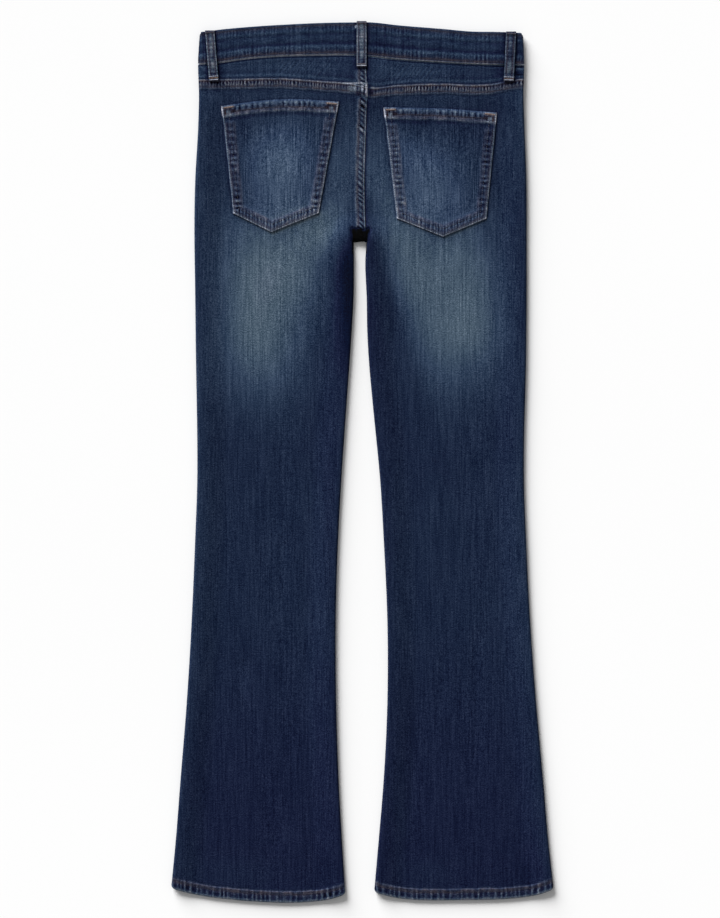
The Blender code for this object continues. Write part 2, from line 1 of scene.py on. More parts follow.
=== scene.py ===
"""Bootcut jeans laid flat with the back up: the looks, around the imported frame.

Lengths are in millimetres until Mesh.add puts them in metres. Places are (x, down, z): down runs
from the waistband's top towards the hems, and z up from the table. Side -1 is the wearer's left,
which lies at -X because the back is up, and side 1 is the wearer's right.

Tones are the brightness of the cloth from 0, black, to 255, white.
"""

import math

import bmesh
import bpy
import numpy as np
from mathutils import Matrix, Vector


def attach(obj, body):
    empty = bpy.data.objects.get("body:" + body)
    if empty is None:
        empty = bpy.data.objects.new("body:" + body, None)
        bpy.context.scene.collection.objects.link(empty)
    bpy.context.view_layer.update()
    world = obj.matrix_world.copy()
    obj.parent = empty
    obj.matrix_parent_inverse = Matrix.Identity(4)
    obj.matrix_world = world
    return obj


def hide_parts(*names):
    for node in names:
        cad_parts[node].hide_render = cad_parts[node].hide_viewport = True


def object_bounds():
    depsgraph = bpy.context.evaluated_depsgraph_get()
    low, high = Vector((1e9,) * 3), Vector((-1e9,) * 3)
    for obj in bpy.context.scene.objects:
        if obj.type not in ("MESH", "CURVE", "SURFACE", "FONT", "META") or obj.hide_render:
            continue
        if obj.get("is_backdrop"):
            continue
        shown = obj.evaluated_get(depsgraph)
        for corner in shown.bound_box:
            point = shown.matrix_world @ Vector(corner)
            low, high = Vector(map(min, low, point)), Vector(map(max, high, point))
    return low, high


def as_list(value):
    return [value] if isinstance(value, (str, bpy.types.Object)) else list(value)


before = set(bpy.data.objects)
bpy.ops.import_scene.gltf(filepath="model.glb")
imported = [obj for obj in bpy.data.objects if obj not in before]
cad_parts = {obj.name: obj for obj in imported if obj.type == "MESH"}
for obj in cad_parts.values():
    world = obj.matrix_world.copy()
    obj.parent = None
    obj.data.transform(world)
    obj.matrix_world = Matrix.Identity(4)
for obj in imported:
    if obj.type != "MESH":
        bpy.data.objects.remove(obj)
CAD_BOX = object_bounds()

# ---- sizes

# They are the CAD model's, and the lines that the camera sees have small corrections to them
TOP_Y = 550.5  # y of the level that down is measured from
DENIM = 1.0  # thickness of one layer
GAP = 0.3  # between layers that lie on each other
CROTCH = 276.0
# Down and x
SEAT_SEAM = (
    (50, 3.8), (70, 5.4), (85, 6.6), (102, 5.7), (135, 4.4), (180, 3), (200, 2.6), (240, 3.2), (276, 4.4),
)
SEAM_RAISE = 0.6
HEM_HEIGHT = 14.0
HEM_TURN = 0.8

# x of each leg's two edges, down the garment
OUTLINE_COLUMNS = ("down", "left_outer", "left_inner", "right_inner", "right_outer")
OUTLINE = (
    (13, -203.2, -11.5, 5.6, 200.5), (52.5, -205.4, -11.5, 5.6, 202.1), (91, -204.3, -11.5, 5.6, 201.2),
    (135, -205.5, -11.5, 5.6, 202.6), (197.5, -209, -11.5, 5.6, 204.8), (276, -210, -10.9, 4.9, 205.2),
    (297, -209.7, -10.7, 3.6, 205.2), (347.5, -209, -11.2, 5.3, 205.2), (385, -208.6, -13.3, 5.9, 204.9),
    (422.5, -208.1, -15.8, 7.9, 204.5), (472.5, -207.2, -19.4, 12.3, 203.2),
    (510, -206.6, -22.1, 16, 202.2), (572.5, -206.5, -26.3, 22, 201.8),
    (647.5, -209.1, -30.4, 26.5, 204.5), (747.5, -213.4, -33.3, 31, 209.4),
    (847.5, -219.4, -32.8, 31.1, 216.7), (947.5, -227.4, -29.7, 26.4, 225.7),
    (1022.5, -233.3, -25.6, 20.2, 232.1), (1095, -240.3, -20.8, 13.8, 240.2),
)
# Down of the waistband's edges and of the yokes' lower edge, across the garment
CROSS_COLUMNS = ("x", "waist_top", "waist_foot", "yoke_foot")
CROSS_LINES = (
    (-206, 13, 52.7, 71.7), (-196, 12.6, 52.6, 71.7), (-178, 10.2, 50.8, 71.4), (-150, 7.5, 46.6, 70.8),
    (-100, 4.1, 42.6, 70.2), (-55, 2, 41.6, 73.4), (-8, 1.1, 41.6, 77.9), (8, 1.05, 42.9, 81.5),
    (45, 4.8, 46.8, 78.8), (100, 9.3, 50.6, 77), (140, 12.7, 52.7, 78.3), (160, 12.9, 53.4, 77.4),
    (182, 13.5, 53.8, 73.6), (196, 14.2, 54, 71.4), (206, 14.4, 54, 70.8),
)
# The lower edge of each leg, by side: where its corners are, and how far its middle hangs below them
HEMS = {
    -1: dict(outer=1082.0, inner=1088.5, sag=15.2),
    1: dict(outer=1082.0, inner=1087.0, sag=13.2),
}
HEM_SAG_POWER = 3.4
# How much lower than that each hem hangs, by the share of its width from the outer side
HEM_DROPS = {
    -1: (
        (0, 0), (0.06, -1.3), (0.15, -2.7), (0.25, -2.8), (0.34, -2.4), (0.44, -1.4), (0.63, -0.3),
        (0.8, 0), (0.92, 1.1), (1, 1.6),
    ),
    1: ((0, 1.4), (0.06, 2), (0.14, 1.4), (0.25, 0.6), (0.38, 0.1), (0.62, -0.4), (0.85, 0.1), (1, 0.3)),
}
HEM_CORNER = 4.5  # radius

WAISTBAND_WALL, WAISTBAND_LOW, WAISTBAND_HIGH, WAISTBAND_ROUND = 2.4, 2.6, 7.7, 0.8
BAND_MIDDLE_DOWN, BAND_HEIGHT = 30.0, 40.0
FRONT_DIP = 28.0  # how much lower the front waist is, in the middle
FRONT_LIFT, LIFT_FROM, LIFT_TO = 2.9, 70.0, 150.0  # the front panels rise to the waistband
# Thickness of the layers, and where it changes from the hips' to the legs'
HIP_STACK, LEG_STACK, STACK_FROM, STACK_TO = 3.6, 2.3, 175.0, 245.0
# Height of the folded edges, where it changes, and how far in from them the cloth comes down
WAIST_FOLD, SIDE_FOLD, FOLD_FROM, FOLD_TO = 3.7, 6.4, 54.0, 130.0
FOLD_REACH = 40.0
SLIDER_ROOM, SLIDER_ROOM_REACH = 1.5, 34.0  # how the back rises over the zip's slider

POCKETS = {
    -1: dict(
        top_left=(-176.6, 105.9), top_right=(-29.3, 100.5), arch=6.0,
        low_left=(-162.3, 239.1), low_right=(-54.6, 239.1), tip=(-113.8, 263.0),
    ),
    1: dict(
        top_left=(25.8, 107.4), top_right=(168.1, 114.0), arch=2.2,
        low_left=(42.0, 245.4), low_right=(155.0, 246.0), tip=(100.5, 268.6),
    ),
}
POCKET_CLEAR = 0.6
# shade is a loop's brightness, and shadow how dark the painted shadow on the cloth right beside it is
BACK_LOOPS = {
    "belt_loop_back_left": dict(top=(-190.8, 11.4), foot=(-185.5, 75.0), width=11.7, shade=0.92, shadow=0.5),
    "belt_loop_back_centre": dict(top=(-1.1, -0.3), foot=(-1.1, 57.3), width=12.4, shade=0.95, shadow=0.5),
    "belt_loop_back_right": dict(top=(185.6, 12.8), foot=(182.6, 75.4), width=12.5, shade=0.8, shadow=0.32),
}
LOOP_WALL, LOOP_RISE, LOOP_END_RAISE, LOOP_FOOT = 1.5, 0.9, 0.4, 6.0
FRONT_LOOPS = {"belt_loop_front_left": -112.0, "belt_loop_front_right": 112.0}
FRONT_LOOP_WIDTH, FRONT_LOOP_BELOW, FRONT_LOOP_RISE, FRONT_LOOP_LOW = 12.5, 14.0, 0.6, 0.35
SCOOP_WIDTH, SCOOP_DEPTH, SCOOP_LAP, SCOOP_CLEAR = 92.0, 73.0, 10.0, 2.0
FLAP_END_X = 14.0
ZIP_HALF_WIDTH, ZIP_LENGTH, ZIP_TAPE = 13.0, 92.0, 0.5
SLIDER_LENGTH, SLIDER_BELOW_BAND = 11.0, 4.0

# ---- curves


def curve_through(xs, ys, x):
    """A smooth curve through the points (xs, ys): cubic pieces with averaged slopes."""
    xs, ys = np.asarray(xs, float), np.asarray(ys, float)
    x = np.clip(x, xs[0], xs[-1])
    slopes = np.gradient(ys, xs)
    k = np.clip(np.searchsorted(xs, x, side="right") - 1, 0, len(xs) - 2)
    step = xs[k + 1] - xs[k]
    t = (x - xs[k]) / step
    ends = (2 * t**3 - 3 * t**2 + 1) * ys[k] + (3 * t**2 - 2 * t**3) * ys[k + 1]
    bend = (t**3 - 2 * t**2 + t) * slopes[k] + (t**3 - t**2) * slopes[k + 1]
    return ends + step * bend


def smooth(rows, at, column=1):
    """A smooth curve through one column of a table, by its first column."""
    return curve_through([row[0] for row in rows], [row[column] for row in rows], at)


def straight(rows, at):
    """Straight lines through a table's second column, by its first."""
    return np.interp(at, [row[0] for row in rows], [row[1] for row in rows])


def bell(value, half):
    """1 at 0, and about a third at half."""
    return np.exp(-((value / half) ** 2))


def between(first, last, share):
    return first + (last - first) * share


def side_word(side):
    return "left" if side < 0 else "right"


def outer_x(side, down):
    return smooth(OUTLINE, down, OUTLINE_COLUMNS.index(side_word(side) + "_outer"))


def inner_x(side, down):
    return smooth(OUTLINE, np.maximum(down, CROTCH), OUTLINE_COLUMNS.index(side_word(side) + "_inner"))


def cross_line(name, x):
    return smooth(CROSS_LINES, x, CROSS_COLUMNS.index(name))


def ease(value, start, end):
    """0 before start and 1 after end, with no corner between."""
    t = np.clip((value - start) / (end - start), 0.0, 1.0)
    return t * t * (3 - 2 * t)


def hump(value, middle, half):
    """1 at the middle and 0 from half away on, with no corner between."""
    return 1 - ease(np.abs(value - middle), 0.0, half)


FAR = 1200.0  # how far before 0 the uneven curves begin, which is beyond every edge


def wander(at, step, seed):
    """A smooth uneven curve from -1 to 1 that turns about once each step."""
    rng = np.random.default_rng(seed)
    values = rng.uniform(-1, 1, int(3 * FAR / step) + 3)
    place = (np.asarray(at, float) + FAR) / step
    k = np.clip(np.floor(place).astype(int), 0, len(values) - 2)
    t = place - k
    t = t * t * (3 - 2 * t)
    return values[k] * (1 - t) + values[k + 1] * t


def patches(x, down, across, along, seed):
    """Smooth uneven patches from -1 to 1, about as large as across and along."""
    values = np.random.default_rng(seed).uniform(-1, 1, (256, 256))
    x, down = np.broadcast_arrays(x, down)
    u, v = (x + FAR) / across, (down + FAR) / along
    i, j = np.floor(u).astype(int), np.floor(v).astype(int)
    s, t = ease(u - i, 0.0, 1.0), ease(v - j, 0.0, 1.0)

    def row(k):
        return values[i % 256, k % 256] * (1 - s) + values[(i + 1) % 256, k % 256] * s

    return row(j) * (1 - t) + row(j + 1) * t


def ticks(at, pitch, seed, narrow=1.0):
    """Uneven ridges, about one each pitch, about 0. Those with a high narrow have thin crests."""
    rng = np.random.default_rng(seed)
    crests = -FAR + np.cumsum(pitch * rng.uniform(0.6, 1.4, int(2600 / pitch)))
    count = np.interp(at, crests, np.arange(len(crests)))
    wave = (0.5 + 0.5 * np.cos(2 * math.pi * count)) ** narrow
    mean = math.gamma(narrow + 0.5) / math.sqrt(math.pi) / math.gamma(narrow + 1)
    return 2 * (wave - mean) * (0.7 + 0.45 * wander(at, pitch * 1.3, seed + 1))


def drawn_in(away, radius):
    """How far a rounded corner draws an edge in, away from where the corner would end."""
    near = 1 - np.clip(away / radius, 0.0, 1.0)
    return radius * (1 - np.sqrt(1 - near * near))


def lengths_along(path):
    return np.concatenate([[0], np.cumsum(np.linalg.norm(np.diff(path, axis=0), axis=1))])


def seat_seam(down):
    """x of the seam down the middle of the seat."""
    return smooth(SEAT_SEAM, down)


def hem_level(side):
    return (HEMS[side]["outer"] + HEMS[side]["inner"]) / 2


def hem_line(side, x):
    """Down, at the lower edge of a leg."""
    hem = HEMS[side]
    start, end = outer_x(side, hem_level(side)), inner_x(side, hem_level(side))
    across = np.clip((x - start) / (end - start), 0.0, 1.0)
    sag = hem["sag"] * (1 - np.abs(2 * across - 1) ** HEM_SAG_POWER)
    return between(hem["outer"], hem["inner"], across) + sag + smooth(HEM_DROPS[side], across)


def front_dip(x):
    """How much lower the front waist is than the back one. It is nothing at the sides."""
    return FRONT_DIP * np.maximum(0.0, 1 - (x / outer_x(1, BAND_MIDDLE_DOWN)) ** 2) ** 1.5


# ---- the laid-flat surface


def lift(down):
    """Height of the front panels' outer face."""
    return FRONT_LIFT * (1 - ease(down, LIFT_FROM, LIFT_TO))


def fold_radius(down):
    return between(WAIST_FOLD, SIDE_FOLD, ease(down, FOLD_FROM, FOLD_TO)) / 2


def slider_top():
    """Down, at the upper end of the zip's slider."""
    return cross_line("waist_foot", 0.0) + front_dip(0.0) + SLIDER_BELOW_BAND


def stack(x, down):
    """Thickness of the layers in the middle of the garment."""
    plain = between(HIP_STACK, LEG_STACK, ease(down, STACK_FROM, STACK_TO))
    away = np.hypot(x, down - slider_top() - SLIDER_LENGTH / 2) / SLIDER_ROOM_REACH
    return plain + SLIDER_ROOM * np.exp(-away * away)


def places(x, down, z):
    return np.stack(np.broadcast_arrays(x, down, z), axis=-1)


def nearest_edge(side, x, down):
    """Distance in from the silhouette, and the direction (x, y) that leads in from it."""
    outer = side * (outer_x(side, down) - x)
    beside = side * (x - inner_x(side, down))
    above = np.maximum(CROTCH - down, 0.0)
    below_crotch = down >= CROTCH
    inner = np.where(below_crotch, beside, np.hypot(np.maximum(beside, 0.0), above))
    nearer = inner < outer
    scale = np.maximum(np.abs(inner), 1e-9)
    inner_to_x = np.where(below_crotch, side, side * np.maximum(beside, 0.0) / scale)
    inner_to_y = np.where(below_crotch, 0.0, above / scale)
    to_x, to_y = np.where(nearer, inner_to_x, -side), np.where(nearer, inner_to_y, 0.0)
    return np.minimum(inner, outer), to_x, to_y


def on_cloth(side, x, down, back, out=0.0, turned=0.0, depth=0.0):
    """Places on the cloth of the back or the front panels.

    out raises the outer face. turned is what a turned hem adds on the inside, and depth is how far
    inwards from the outer face the place is.
    """
    distance, to_x, to_y = nearest_edge(side, x, down)
    radius, low = fold_radius(down), lift(down)
    least = np.arcsin(GAP / 2 / (radius - DENIM))
    angle = np.maximum(np.arccos(np.clip(1 - distance / radius, 0.0, 1.0)), least)
    reach = radius + out * np.sin(angle) - depth
    inwards = radius - reach * np.cos(angle) - distance
    up = reach * np.sin(angle) * (1 if back else -1)
    turn = (x + to_x * inwards, down - to_y * inwards, low + radius + up)
    if back:
        flat = stack(x, down) + 2 * turned
        share = np.clip((distance - radius) / (FOLD_REACH - radius), 0.0, 1.0)
        stands = np.maximum(2 * radius - flat, 0.0) * (1 + np.cos(math.pi * share)) / 2
        z = low + flat + stands + out - depth
    else:
        z = low - out + depth
    folded = distance < radius
    return places(*(np.where(folded, a, b) for a, b in zip(turn, (x, down, z))))


def back_top(x, down):
    """Top of the back panels and yokes, without any seam or wrinkle."""
    left = on_cloth(-1, x, down, True)[..., 2]
    right = on_cloth(1, x, down, True)[..., 2]
    return np.where(x < seat_seam(down), left, right)


# ---- meshes

THIN = 4  # the inside of each sheet has one row and column for so many of the outer face


class Mesh:
    """Points with their tone and warmth, and faces, gathered for one object."""

    def __init__(self):
        self.points, self.tones, self.warms, self.faces, self.count = [], [], [], [], 0

    def add(self, points, tone=0.0, warm=0.0):
        """Adds places (x, down, z) in millimetres, and returns their numbers in the same layout."""
        shape = points.shape[:-1]
        flat = points.reshape(-1, 3) * (1, -1, 1) + (0, TOP_Y, 0)
        self.points.append(flat / 1000)
        self.tones.append(np.broadcast_to(tone, shape).reshape(-1) / 255)
        self.warms.append(np.broadcast_to(warm, shape).reshape(-1))
        numbers = self.count + np.arange(len(flat)).reshape(shape)
        self.count += len(flat)
        return numbers

    def sew(self, first, second):
        """Faces between two rows, one of which may have several times as many steps."""
        fine, coarse = np.asarray(first), np.asarray(second)
        if len(fine) < len(coarse):
            fine, coarse = coarse, fine
        ratio = (len(fine) - 1) // (len(coarse) - 1)
        if ratio == 1:
            self.faces.append(np.stack([fine[:-1], fine[1:], coarse[1:], coarse[:-1]], 1))
            return
        starts, ends = fine[:-1].reshape(-1, ratio), fine[1:].reshape(-1, ratio)
        early = np.arange(ratio) < ratio // 2
        apex = np.where(early, coarse[:-1, None], coarse[1:, None])
        self.faces.append(np.stack([starts, ends, apex], -1).reshape(-1, 3))
        self.faces.append(np.stack([starts[:, ratio // 2], coarse[1:], coarse[:-1]], 1))

    def weave(self, rows):
        for first, second in zip(rows, rows[1:]):
            if len(second) < len(first) and (len(first) - 1) % (len(second) - 1):
                first = first[: len(second)]
            self.sew(first, second)

    def sheet(self, outer, inner, step_at=None, width=None):
        """A closed sheet from rows of outer and inner points.

        Below row step_at, the rows are only as wide as the column numbered width. The inside has
        every fourth row and column of the outer face.
        """
        self.weave(outer)
        self.weave(inner)
        self.sew(outer[0], inner[0])
        self.sew(outer[-1], inner[-1])
        self.sew([row[0] for row in outer], [row[0] for row in inner])
        if step_at is None:
            self.sew([row[-1] for row in outer], [row[-1] for row in inner])
            return
        at, corner = step_at // THIN, width // THIN
        self.sew([row[-1] for row in outer[: step_at + 1]], [row[-1] for row in inner[: at + 1]])
        self.sew(outer[step_at][width:], inner[at][corner:])
        below = [outer[step_at][width]] + [row[-1] for row in outer[step_at + 1 :]]
        self.sew(below, [inner[at][corner]] + [row[-1] for row in inner[at + 1 :]])

    def solid(self, rings, tone=0.0, warm=0.0):
        """A closed solid through rings of places, with a cap at each end."""
        rings = self.add(np.asarray(rings), tone, warm)
        closed = np.concatenate([rings, rings[:, :1]], axis=1)
        self.weave(list(closed))
        for ring in (rings[0], rings[-1]):
            half = len(ring) // 2
            self.sew(ring[:half], ring[half:][::-1])

    def build(self, name, material_name="denim", sharp=55.0):
        """The object. Its edges look sharp where they turn by more than so many degrees."""
        mesh = bpy.data.meshes.new(name)
        sizes = np.concatenate([np.full(len(f), f.shape[1]) for f in self.faces])
        corners = np.concatenate([f.reshape(-1) for f in self.faces])
        mesh.vertices.add(self.count)
        mesh.vertices.foreach_set("co", np.concatenate(self.points).reshape(-1))
        mesh.loops.add(len(corners))
        mesh.loops.foreach_set("vertex_index", corners)
        mesh.polygons.add(len(sizes))
        mesh.polygons.foreach_set("loop_start", np.concatenate([[0], np.cumsum(sizes)[:-1]]))
        mesh.update(calc_edges=True)
        for word, values in (("tone", self.tones), ("warm", self.warms)):
            layer = mesh.attributes.new(word, "FLOAT", "POINT")
            layer.data.foreach_set("value", np.concatenate(values))
        bm = bmesh.new()
        bm.from_mesh(mesh)
        bmesh.ops.recalc_face_normals(bm, faces=bm.faces)
        bm.to_mesh(mesh)
        bm.free()
        mesh.polygons.foreach_set("use_smooth", np.ones(len(sizes), bool))
        mesh.set_sharp_from_angle(angle=math.radians(sharp))
        mesh.validate()
        mesh.materials.append(MATERIALS[material_name])
        obj = bpy.data.objects.new(name, mesh)
        bpy.context.scene.collection.objects.link(obj)
        return obj


# ---- materials

# The colour of the cloth at each tone, as red, green and blue from 0 to 255
INDIGO = (
    (4, 2, 4, 10), (20, 13, 20, 43), (30, 23, 30, 55), (38, 27, 38, 61), (51, 37, 51, 74),
    (66, 50, 66, 89), (80, 63, 80, 99), (93, 76, 93, 109), (110, 98, 110, 128), (128, 120, 128, 146),
    (160, 154, 160, 178), (190, 186, 190, 205), (235, 233, 235, 241),
)
# The pockets' faded cloth is bluer than the legs'
POCKET_INDIGO = tuple(row[:3] + (row[3] + 5 * float(hump(row[0], 80.0, 34.0)),) for row in INDIGO)
# The colour of thread and rubbed edges, likewise
COPPER = (
    (4, 5, 4, 5), (40, 54, 40, 38), (75, 98, 75, 64), (105, 132, 105, 86), (150, 174, 150, 130),
    (200, 216, 200, 186), (240, 243, 240, 237),
)
LIGHT_ON_CLOTH = 1.09  # how much brighter a flat white face would be than white paint
HAZE = 0.0035  # what the cloth's sheen adds
SHEEN = 0.035
TWILL_STEP = 0.0022  # metres from one diagonal of the weave to the next
EYE = 2.2  # the power that turns brightness as it is seen into light


def linear(value):
    """A tone from 0 to 255 as the share of light that it reflects."""
    share = value / 255
    return share / 12.92 if share <= 0.04045 else ((share + 0.055) / 1.055) ** 2.4


FIRST_COLOUR, SECOND_COLOUR, MIXED_COLOUR = 6, 7, 2  # sockets of a mix node


class Nodes:
    """Short ways to add and join the nodes of one material."""

    def __init__(self, name):
        self.material = bpy.data.materials.new(name)
        self.material.use_nodes = True
        self.tree = self.material.node_tree
        self.shader = self.tree.nodes["Principled BSDF"]

    def add(self, kind, inputs=(), **settings):
        node = self.tree.nodes.new(kind)
        for word, value in settings.items():
            setattr(node, word, value)
        self.set(node, inputs)
        return node

    def set(self, node, inputs):
        """Gives a node's inputs their constants, or joins them to other nodes' outputs."""
        for key, value in dict(inputs).items():
            if isinstance(value, bpy.types.NodeSocket):
                self.tree.links.new(value, node.inputs[key])
            else:
                node.inputs[key].default_value = value

    def math(self, operation, *values):
        return self.add("ShaderNodeMath", enumerate(values), operation=operation).outputs[0]

    def attribute(self, name):
        node = self.add("ShaderNodeAttribute", attribute_name=name, attribute_type="GEOMETRY")
        return node.outputs["Fac"]

    def noise(self, cell, detail=0.0, seed=0.0):
        """Smooth noise about 0, whose lumps are cell millimetres long along x, y and z."""
        where = self.add("ShaderNodeTexCoord").outputs["Object"]
        moved = self.add(
            "ShaderNodeMapping",
            {"Vector": where, "Scale": [1000 / c for c in cell], "Location": (seed, seed * 0.7, 0)},
        )
        sizes = {"Vector": moved.outputs[0], "Scale": 1.0, "Detail": detail, "Roughness": 0.6}
        made = self.add("ShaderNodeTexNoise", sizes)
        return self.math("SUBTRACT", made.outputs["Fac"], 0.5)

    def colours(self, table, tone):
        ramp = self.add("ShaderNodeValToRGB", {"Fac": tone})
        stops = ramp.color_ramp.elements
        while len(stops) < len(table):
            stops.new(0.5)
        for stop, (at, *rgb) in zip(stops, table):
            stop.position = at / 255
            stop.color = [max(linear(c) - HAZE, 0.0) / LIGHT_ON_CLOTH for c in rgb] + [1.0]
        return ramp.outputs["Color"]

    def mix(self, share, first, second):
        inputs = {"Factor": share, FIRST_COLOUR: first, SECOND_COLOUR: second}
        return self.add("ShaderNodeMix", inputs, data_type="RGBA").outputs[MIXED_COLOUR]

    def sum(self, *terms):
        """The sum of (value, factor) pairs."""
        total = 0.0
        for value, factor in terms:
            total = self.math("MULTIPLY_ADD", value, factor, total)
        return total

    def bump(self, height, strength, distance):
        inputs = {"Height": height, "Strength": strength, "Distance": distance}
        return self.add("ShaderNodeBump", inputs).outputs[0]

    def ramp(self, share, dark, light):
        node = self.add("ShaderNodeValToRGB", {"Fac": share})
        for stop, colour in zip(node.color_ramp.elements, (dark, light)):
            stop.color = (*colour, 1)
        return node.outputs["Color"]

    def finish(self, colour, **inputs):
        """Sets the surface's inputs, whose names have _ for each space."""
        named = {key.replace("_", " "): value for key, value in inputs.items()}
        self.set(self.shader, {"Base Color": colour, **named})
        return self.material


def denim(name, lines=1.1, colours=INDIGO):
    """Twill cloth: the tone of each point, with slubs, grain, weave lines and soft blotches on it."""
    nodes = Nodes(name)
    tone, warm = nodes.attribute("tone"), nodes.attribute("warm")
    slub = nodes.noise((1.25, 6.0, 4.0), seed=3.0)
    warp = nodes.noise((1.3, 40.0, 5.0), seed=9.0)
    weft = nodes.noise((9.0, 1.2, 3.0), seed=12.0)
    grain = nodes.noise((1.25, 1.35, 1.25), seed=5.0)
    streak = nodes.noise((5.0, 90.0, 8.0), detail=1.0, seed=1.0)
    blotch = nodes.noise((34.0, 46.0, 20.0), detail=2.0, seed=7.0)
    uneven = nodes.sum(
        (slub, 0.6), (warp, lines), (weft, 0.4), (grain, 2.2), (streak, 0.25), (blotch, 0.2)
    )
    colour = nodes.mix(warm, nodes.colours(colours, tone), nodes.colours(COPPER, tone))
    # the unevenness is the same step in red, green and blue, as the eye sees them
    seen = nodes.add("ShaderNodeGamma", {"Color": colour, "Gamma": 1 / EYE}).outputs[0]
    amount = nodes.math("MULTIPLY", uneven, nodes.math("MULTIPLY_ADD", tone, 0.28, 0.045))
    seen = nodes.add("ShaderNodeBrightContrast", {"Color": seen, "Bright": amount}).outputs[0]
    cloth = nodes.add("ShaderNodeGamma", {"Color": seen, "Gamma": EYE}).outputs[0]
    where = nodes.add("ShaderNodeTexCoord").outputs["Object"]
    parts = nodes.add("ShaderNodeSeparateXYZ", {"Vector": where})
    diagonal = nodes.math("MULTIPLY_ADD", parts.outputs["X"], 2.0, parts.outputs["Y"])
    weave = nodes.math("SINE", nodes.math("MULTIPLY", diagonal, 2 * math.pi / TWILL_STEP))
    height = nodes.sum((slub, 0.5), (grain, 0.6), (weave, 0.2))
    # no sheen where the tone is darkest, as in the painted shade of the crotch hollow
    sheen = nodes.math("MINIMUM", nodes.math("MULTIPLY", tone, 0.55), SHEEN)
    return nodes.finish(
        cloth,
        Normal=nodes.bump(height, 0.3, 0.0003),
        Roughness=nodes.math("MULTIPLY_ADD", grain, 0.2, 0.9),
        Specular_IOR_Level=0.05,
        Sheen_Weight=sheen,
        Sheen_Roughness=0.5,
    )


def thread(name):
    nodes = Nodes(name)
    tone, warm = nodes.attribute("tone"), nodes.attribute("warm")
    uneven = nodes.noise((0.6, 0.6, 0.6), seed=2.0)
    shown = nodes.math("MULTIPLY_ADD", uneven, 0.25, tone)
    colour = nodes.mix(warm, nodes.colours(INDIGO, shown), nodes.colours(COPPER, shown))
    bump = nodes.bump(uneven, 0.5, 0.0002)
    return nodes.finish(colour, Normal=bump, Roughness=0.7, Specular_IOR_Level=0.2, Sheen_Weight=0.1)


def brass(name):
    nodes = Nodes(name)
    patina = nodes.noise((2.5, 2.5, 2.5), detail=3.0, seed=4.0)
    scratch = nodes.noise((0.4, 5.0, 5.0), seed=6.0)
    share = nodes.math("MULTIPLY_ADD", patina, 1.6, 0.5)
    colour = nodes.ramp(share, (0.10, 0.06, 0.03), (0.48, 0.33, 0.16))
    rough = nodes.math("MULTIPLY_ADD", scratch, 0.3, 0.38)
    return nodes.finish(colour, Roughness=rough, Metallic=1.0)


def paper(name):
    """A plain pale floor."""
    nodes = Nodes(name)
    soft = nodes.noise((400.0, 400.0, 400.0), seed=1.0)
    colour = nodes.ramp(nodes.math("ADD", soft, 0.5), (0.895,) * 3, (0.905,) * 3)
    return nodes.finish(colour, Roughness=1.0, Specular_IOR_Level=0.0)


MATERIALS = {
    "denim": denim("washed_denim"),
    "pocket": denim("pocket_denim", lines=1.9, colours=POCKET_INDIGO),
    "thread": thread("topstitch_thread"),
    "tape": denim("woven_tape"),
    "brass": brass("old_brass"),
    "floor": paper("paper"),
}

# ---- wash and wrinkles

# Soft zones where the cloth is lighter or darker: strength, middle (x, down), half sizes across and
# along, and how far they are turned, in radians
FADES = (
    (53, -91.4, 305.9, 62.1, 105.4, -0.85), (47, -49.5, 255.7, 32.8, 37.9, 0.39),
    (65.7, -135.6, 378.6, 59.5, 90.3, -0.21), (64.4, 124.7, 323.9, 60.6, 109.3, -0.12),
    (46.5, 49.2, 287.9, 36.8, 146.5, -0.26), (20.9, 135.3, 390.1, 45.9, 57.4, 0.62),
    (-79.4, -18.2, 187, 32.5, 145.3, 0.04), (-10.8, 18, 288.9, 11.9, 182.4, -0.3),
    (100.2, -20, 185.3, 31.4, 98.8, 0.02), (-15, -20, 322, 13, 60, 0), (-9, -16, 400, 12, 34, 0),
    (5, -160, 1066, 60, 26, 0), (4, -214, 1050, 14, 70, 0), (4.5, 84, 1064, 44, 22, 0),
    (-4, 206, 1066, 20, 24, 0), (-3, -44, 1066, 14, 20, 0), (3.5, 46, 1000, 12, 80, 0),
    (-3.5, 184, 450, 20, 150, 0), (-4, -40, 610, 12, 90, 0), (-4, 28, 640, 12, 110, 0),
    (3, -198, 400, 16, 130, 0), (12, -95, 106, 55, 14, 0), (5, 66, 112, 26, 16, 0),
    (-4, 160, 106, 30, 18, 0),
)
# The plain tone down the legs, and how much more it is at the folded edges
LEG_TONE_DOWN = (90, 180, 276, 360, 450, 600, 750, 900, 1060)
LEG_TONE = (42.3, 37.5, 22.2, 14.8, 32.7, 38.9, 37.7, 31.9, 28.8)
SIDE_TONE, SIDE_TONE_REACH = 8.9, 14.0
YOKE_TONE = {-1: 46.0, 1: 47.0}
YOKE_FADES = (
    (8, -105, 62, 45, 12, 0), (8, 70, 66, 40, 9, 0), (-6, 140, 62, 60, 16, 0), (-6, -18, 62, 16, 20, 0),
    (-9, 173, 55, 11, 30, 0),
)
BAND_FADES = ((-3, 110, 30, 100, 60, 0), (-4, 30, 30, 26, 60, 0), (-6, 174, 34, 9, 60, 0))
BAND_SPOTS = ((-8.3, 6.6, 1.5, 2.1, 170.0, 0.0),)
POCKET_FADES = {
    -1: ((63.1, -104.7, 179, 54.7, 66.8, 0.9), (75.2, -85, 256.9, 113.3, 47.4, 2.91)),
    1: ((30.2, 81.3, 210.5, 44.8, 62.2, 0.35), (17.7, 44, 152.5, 24.1, 42.3, 2.07)),
}
POCKET_TONE = {-1: (14.3, -26.9), 1: (42.7, 15.2)}  # at 180 down, and how it changes over 100


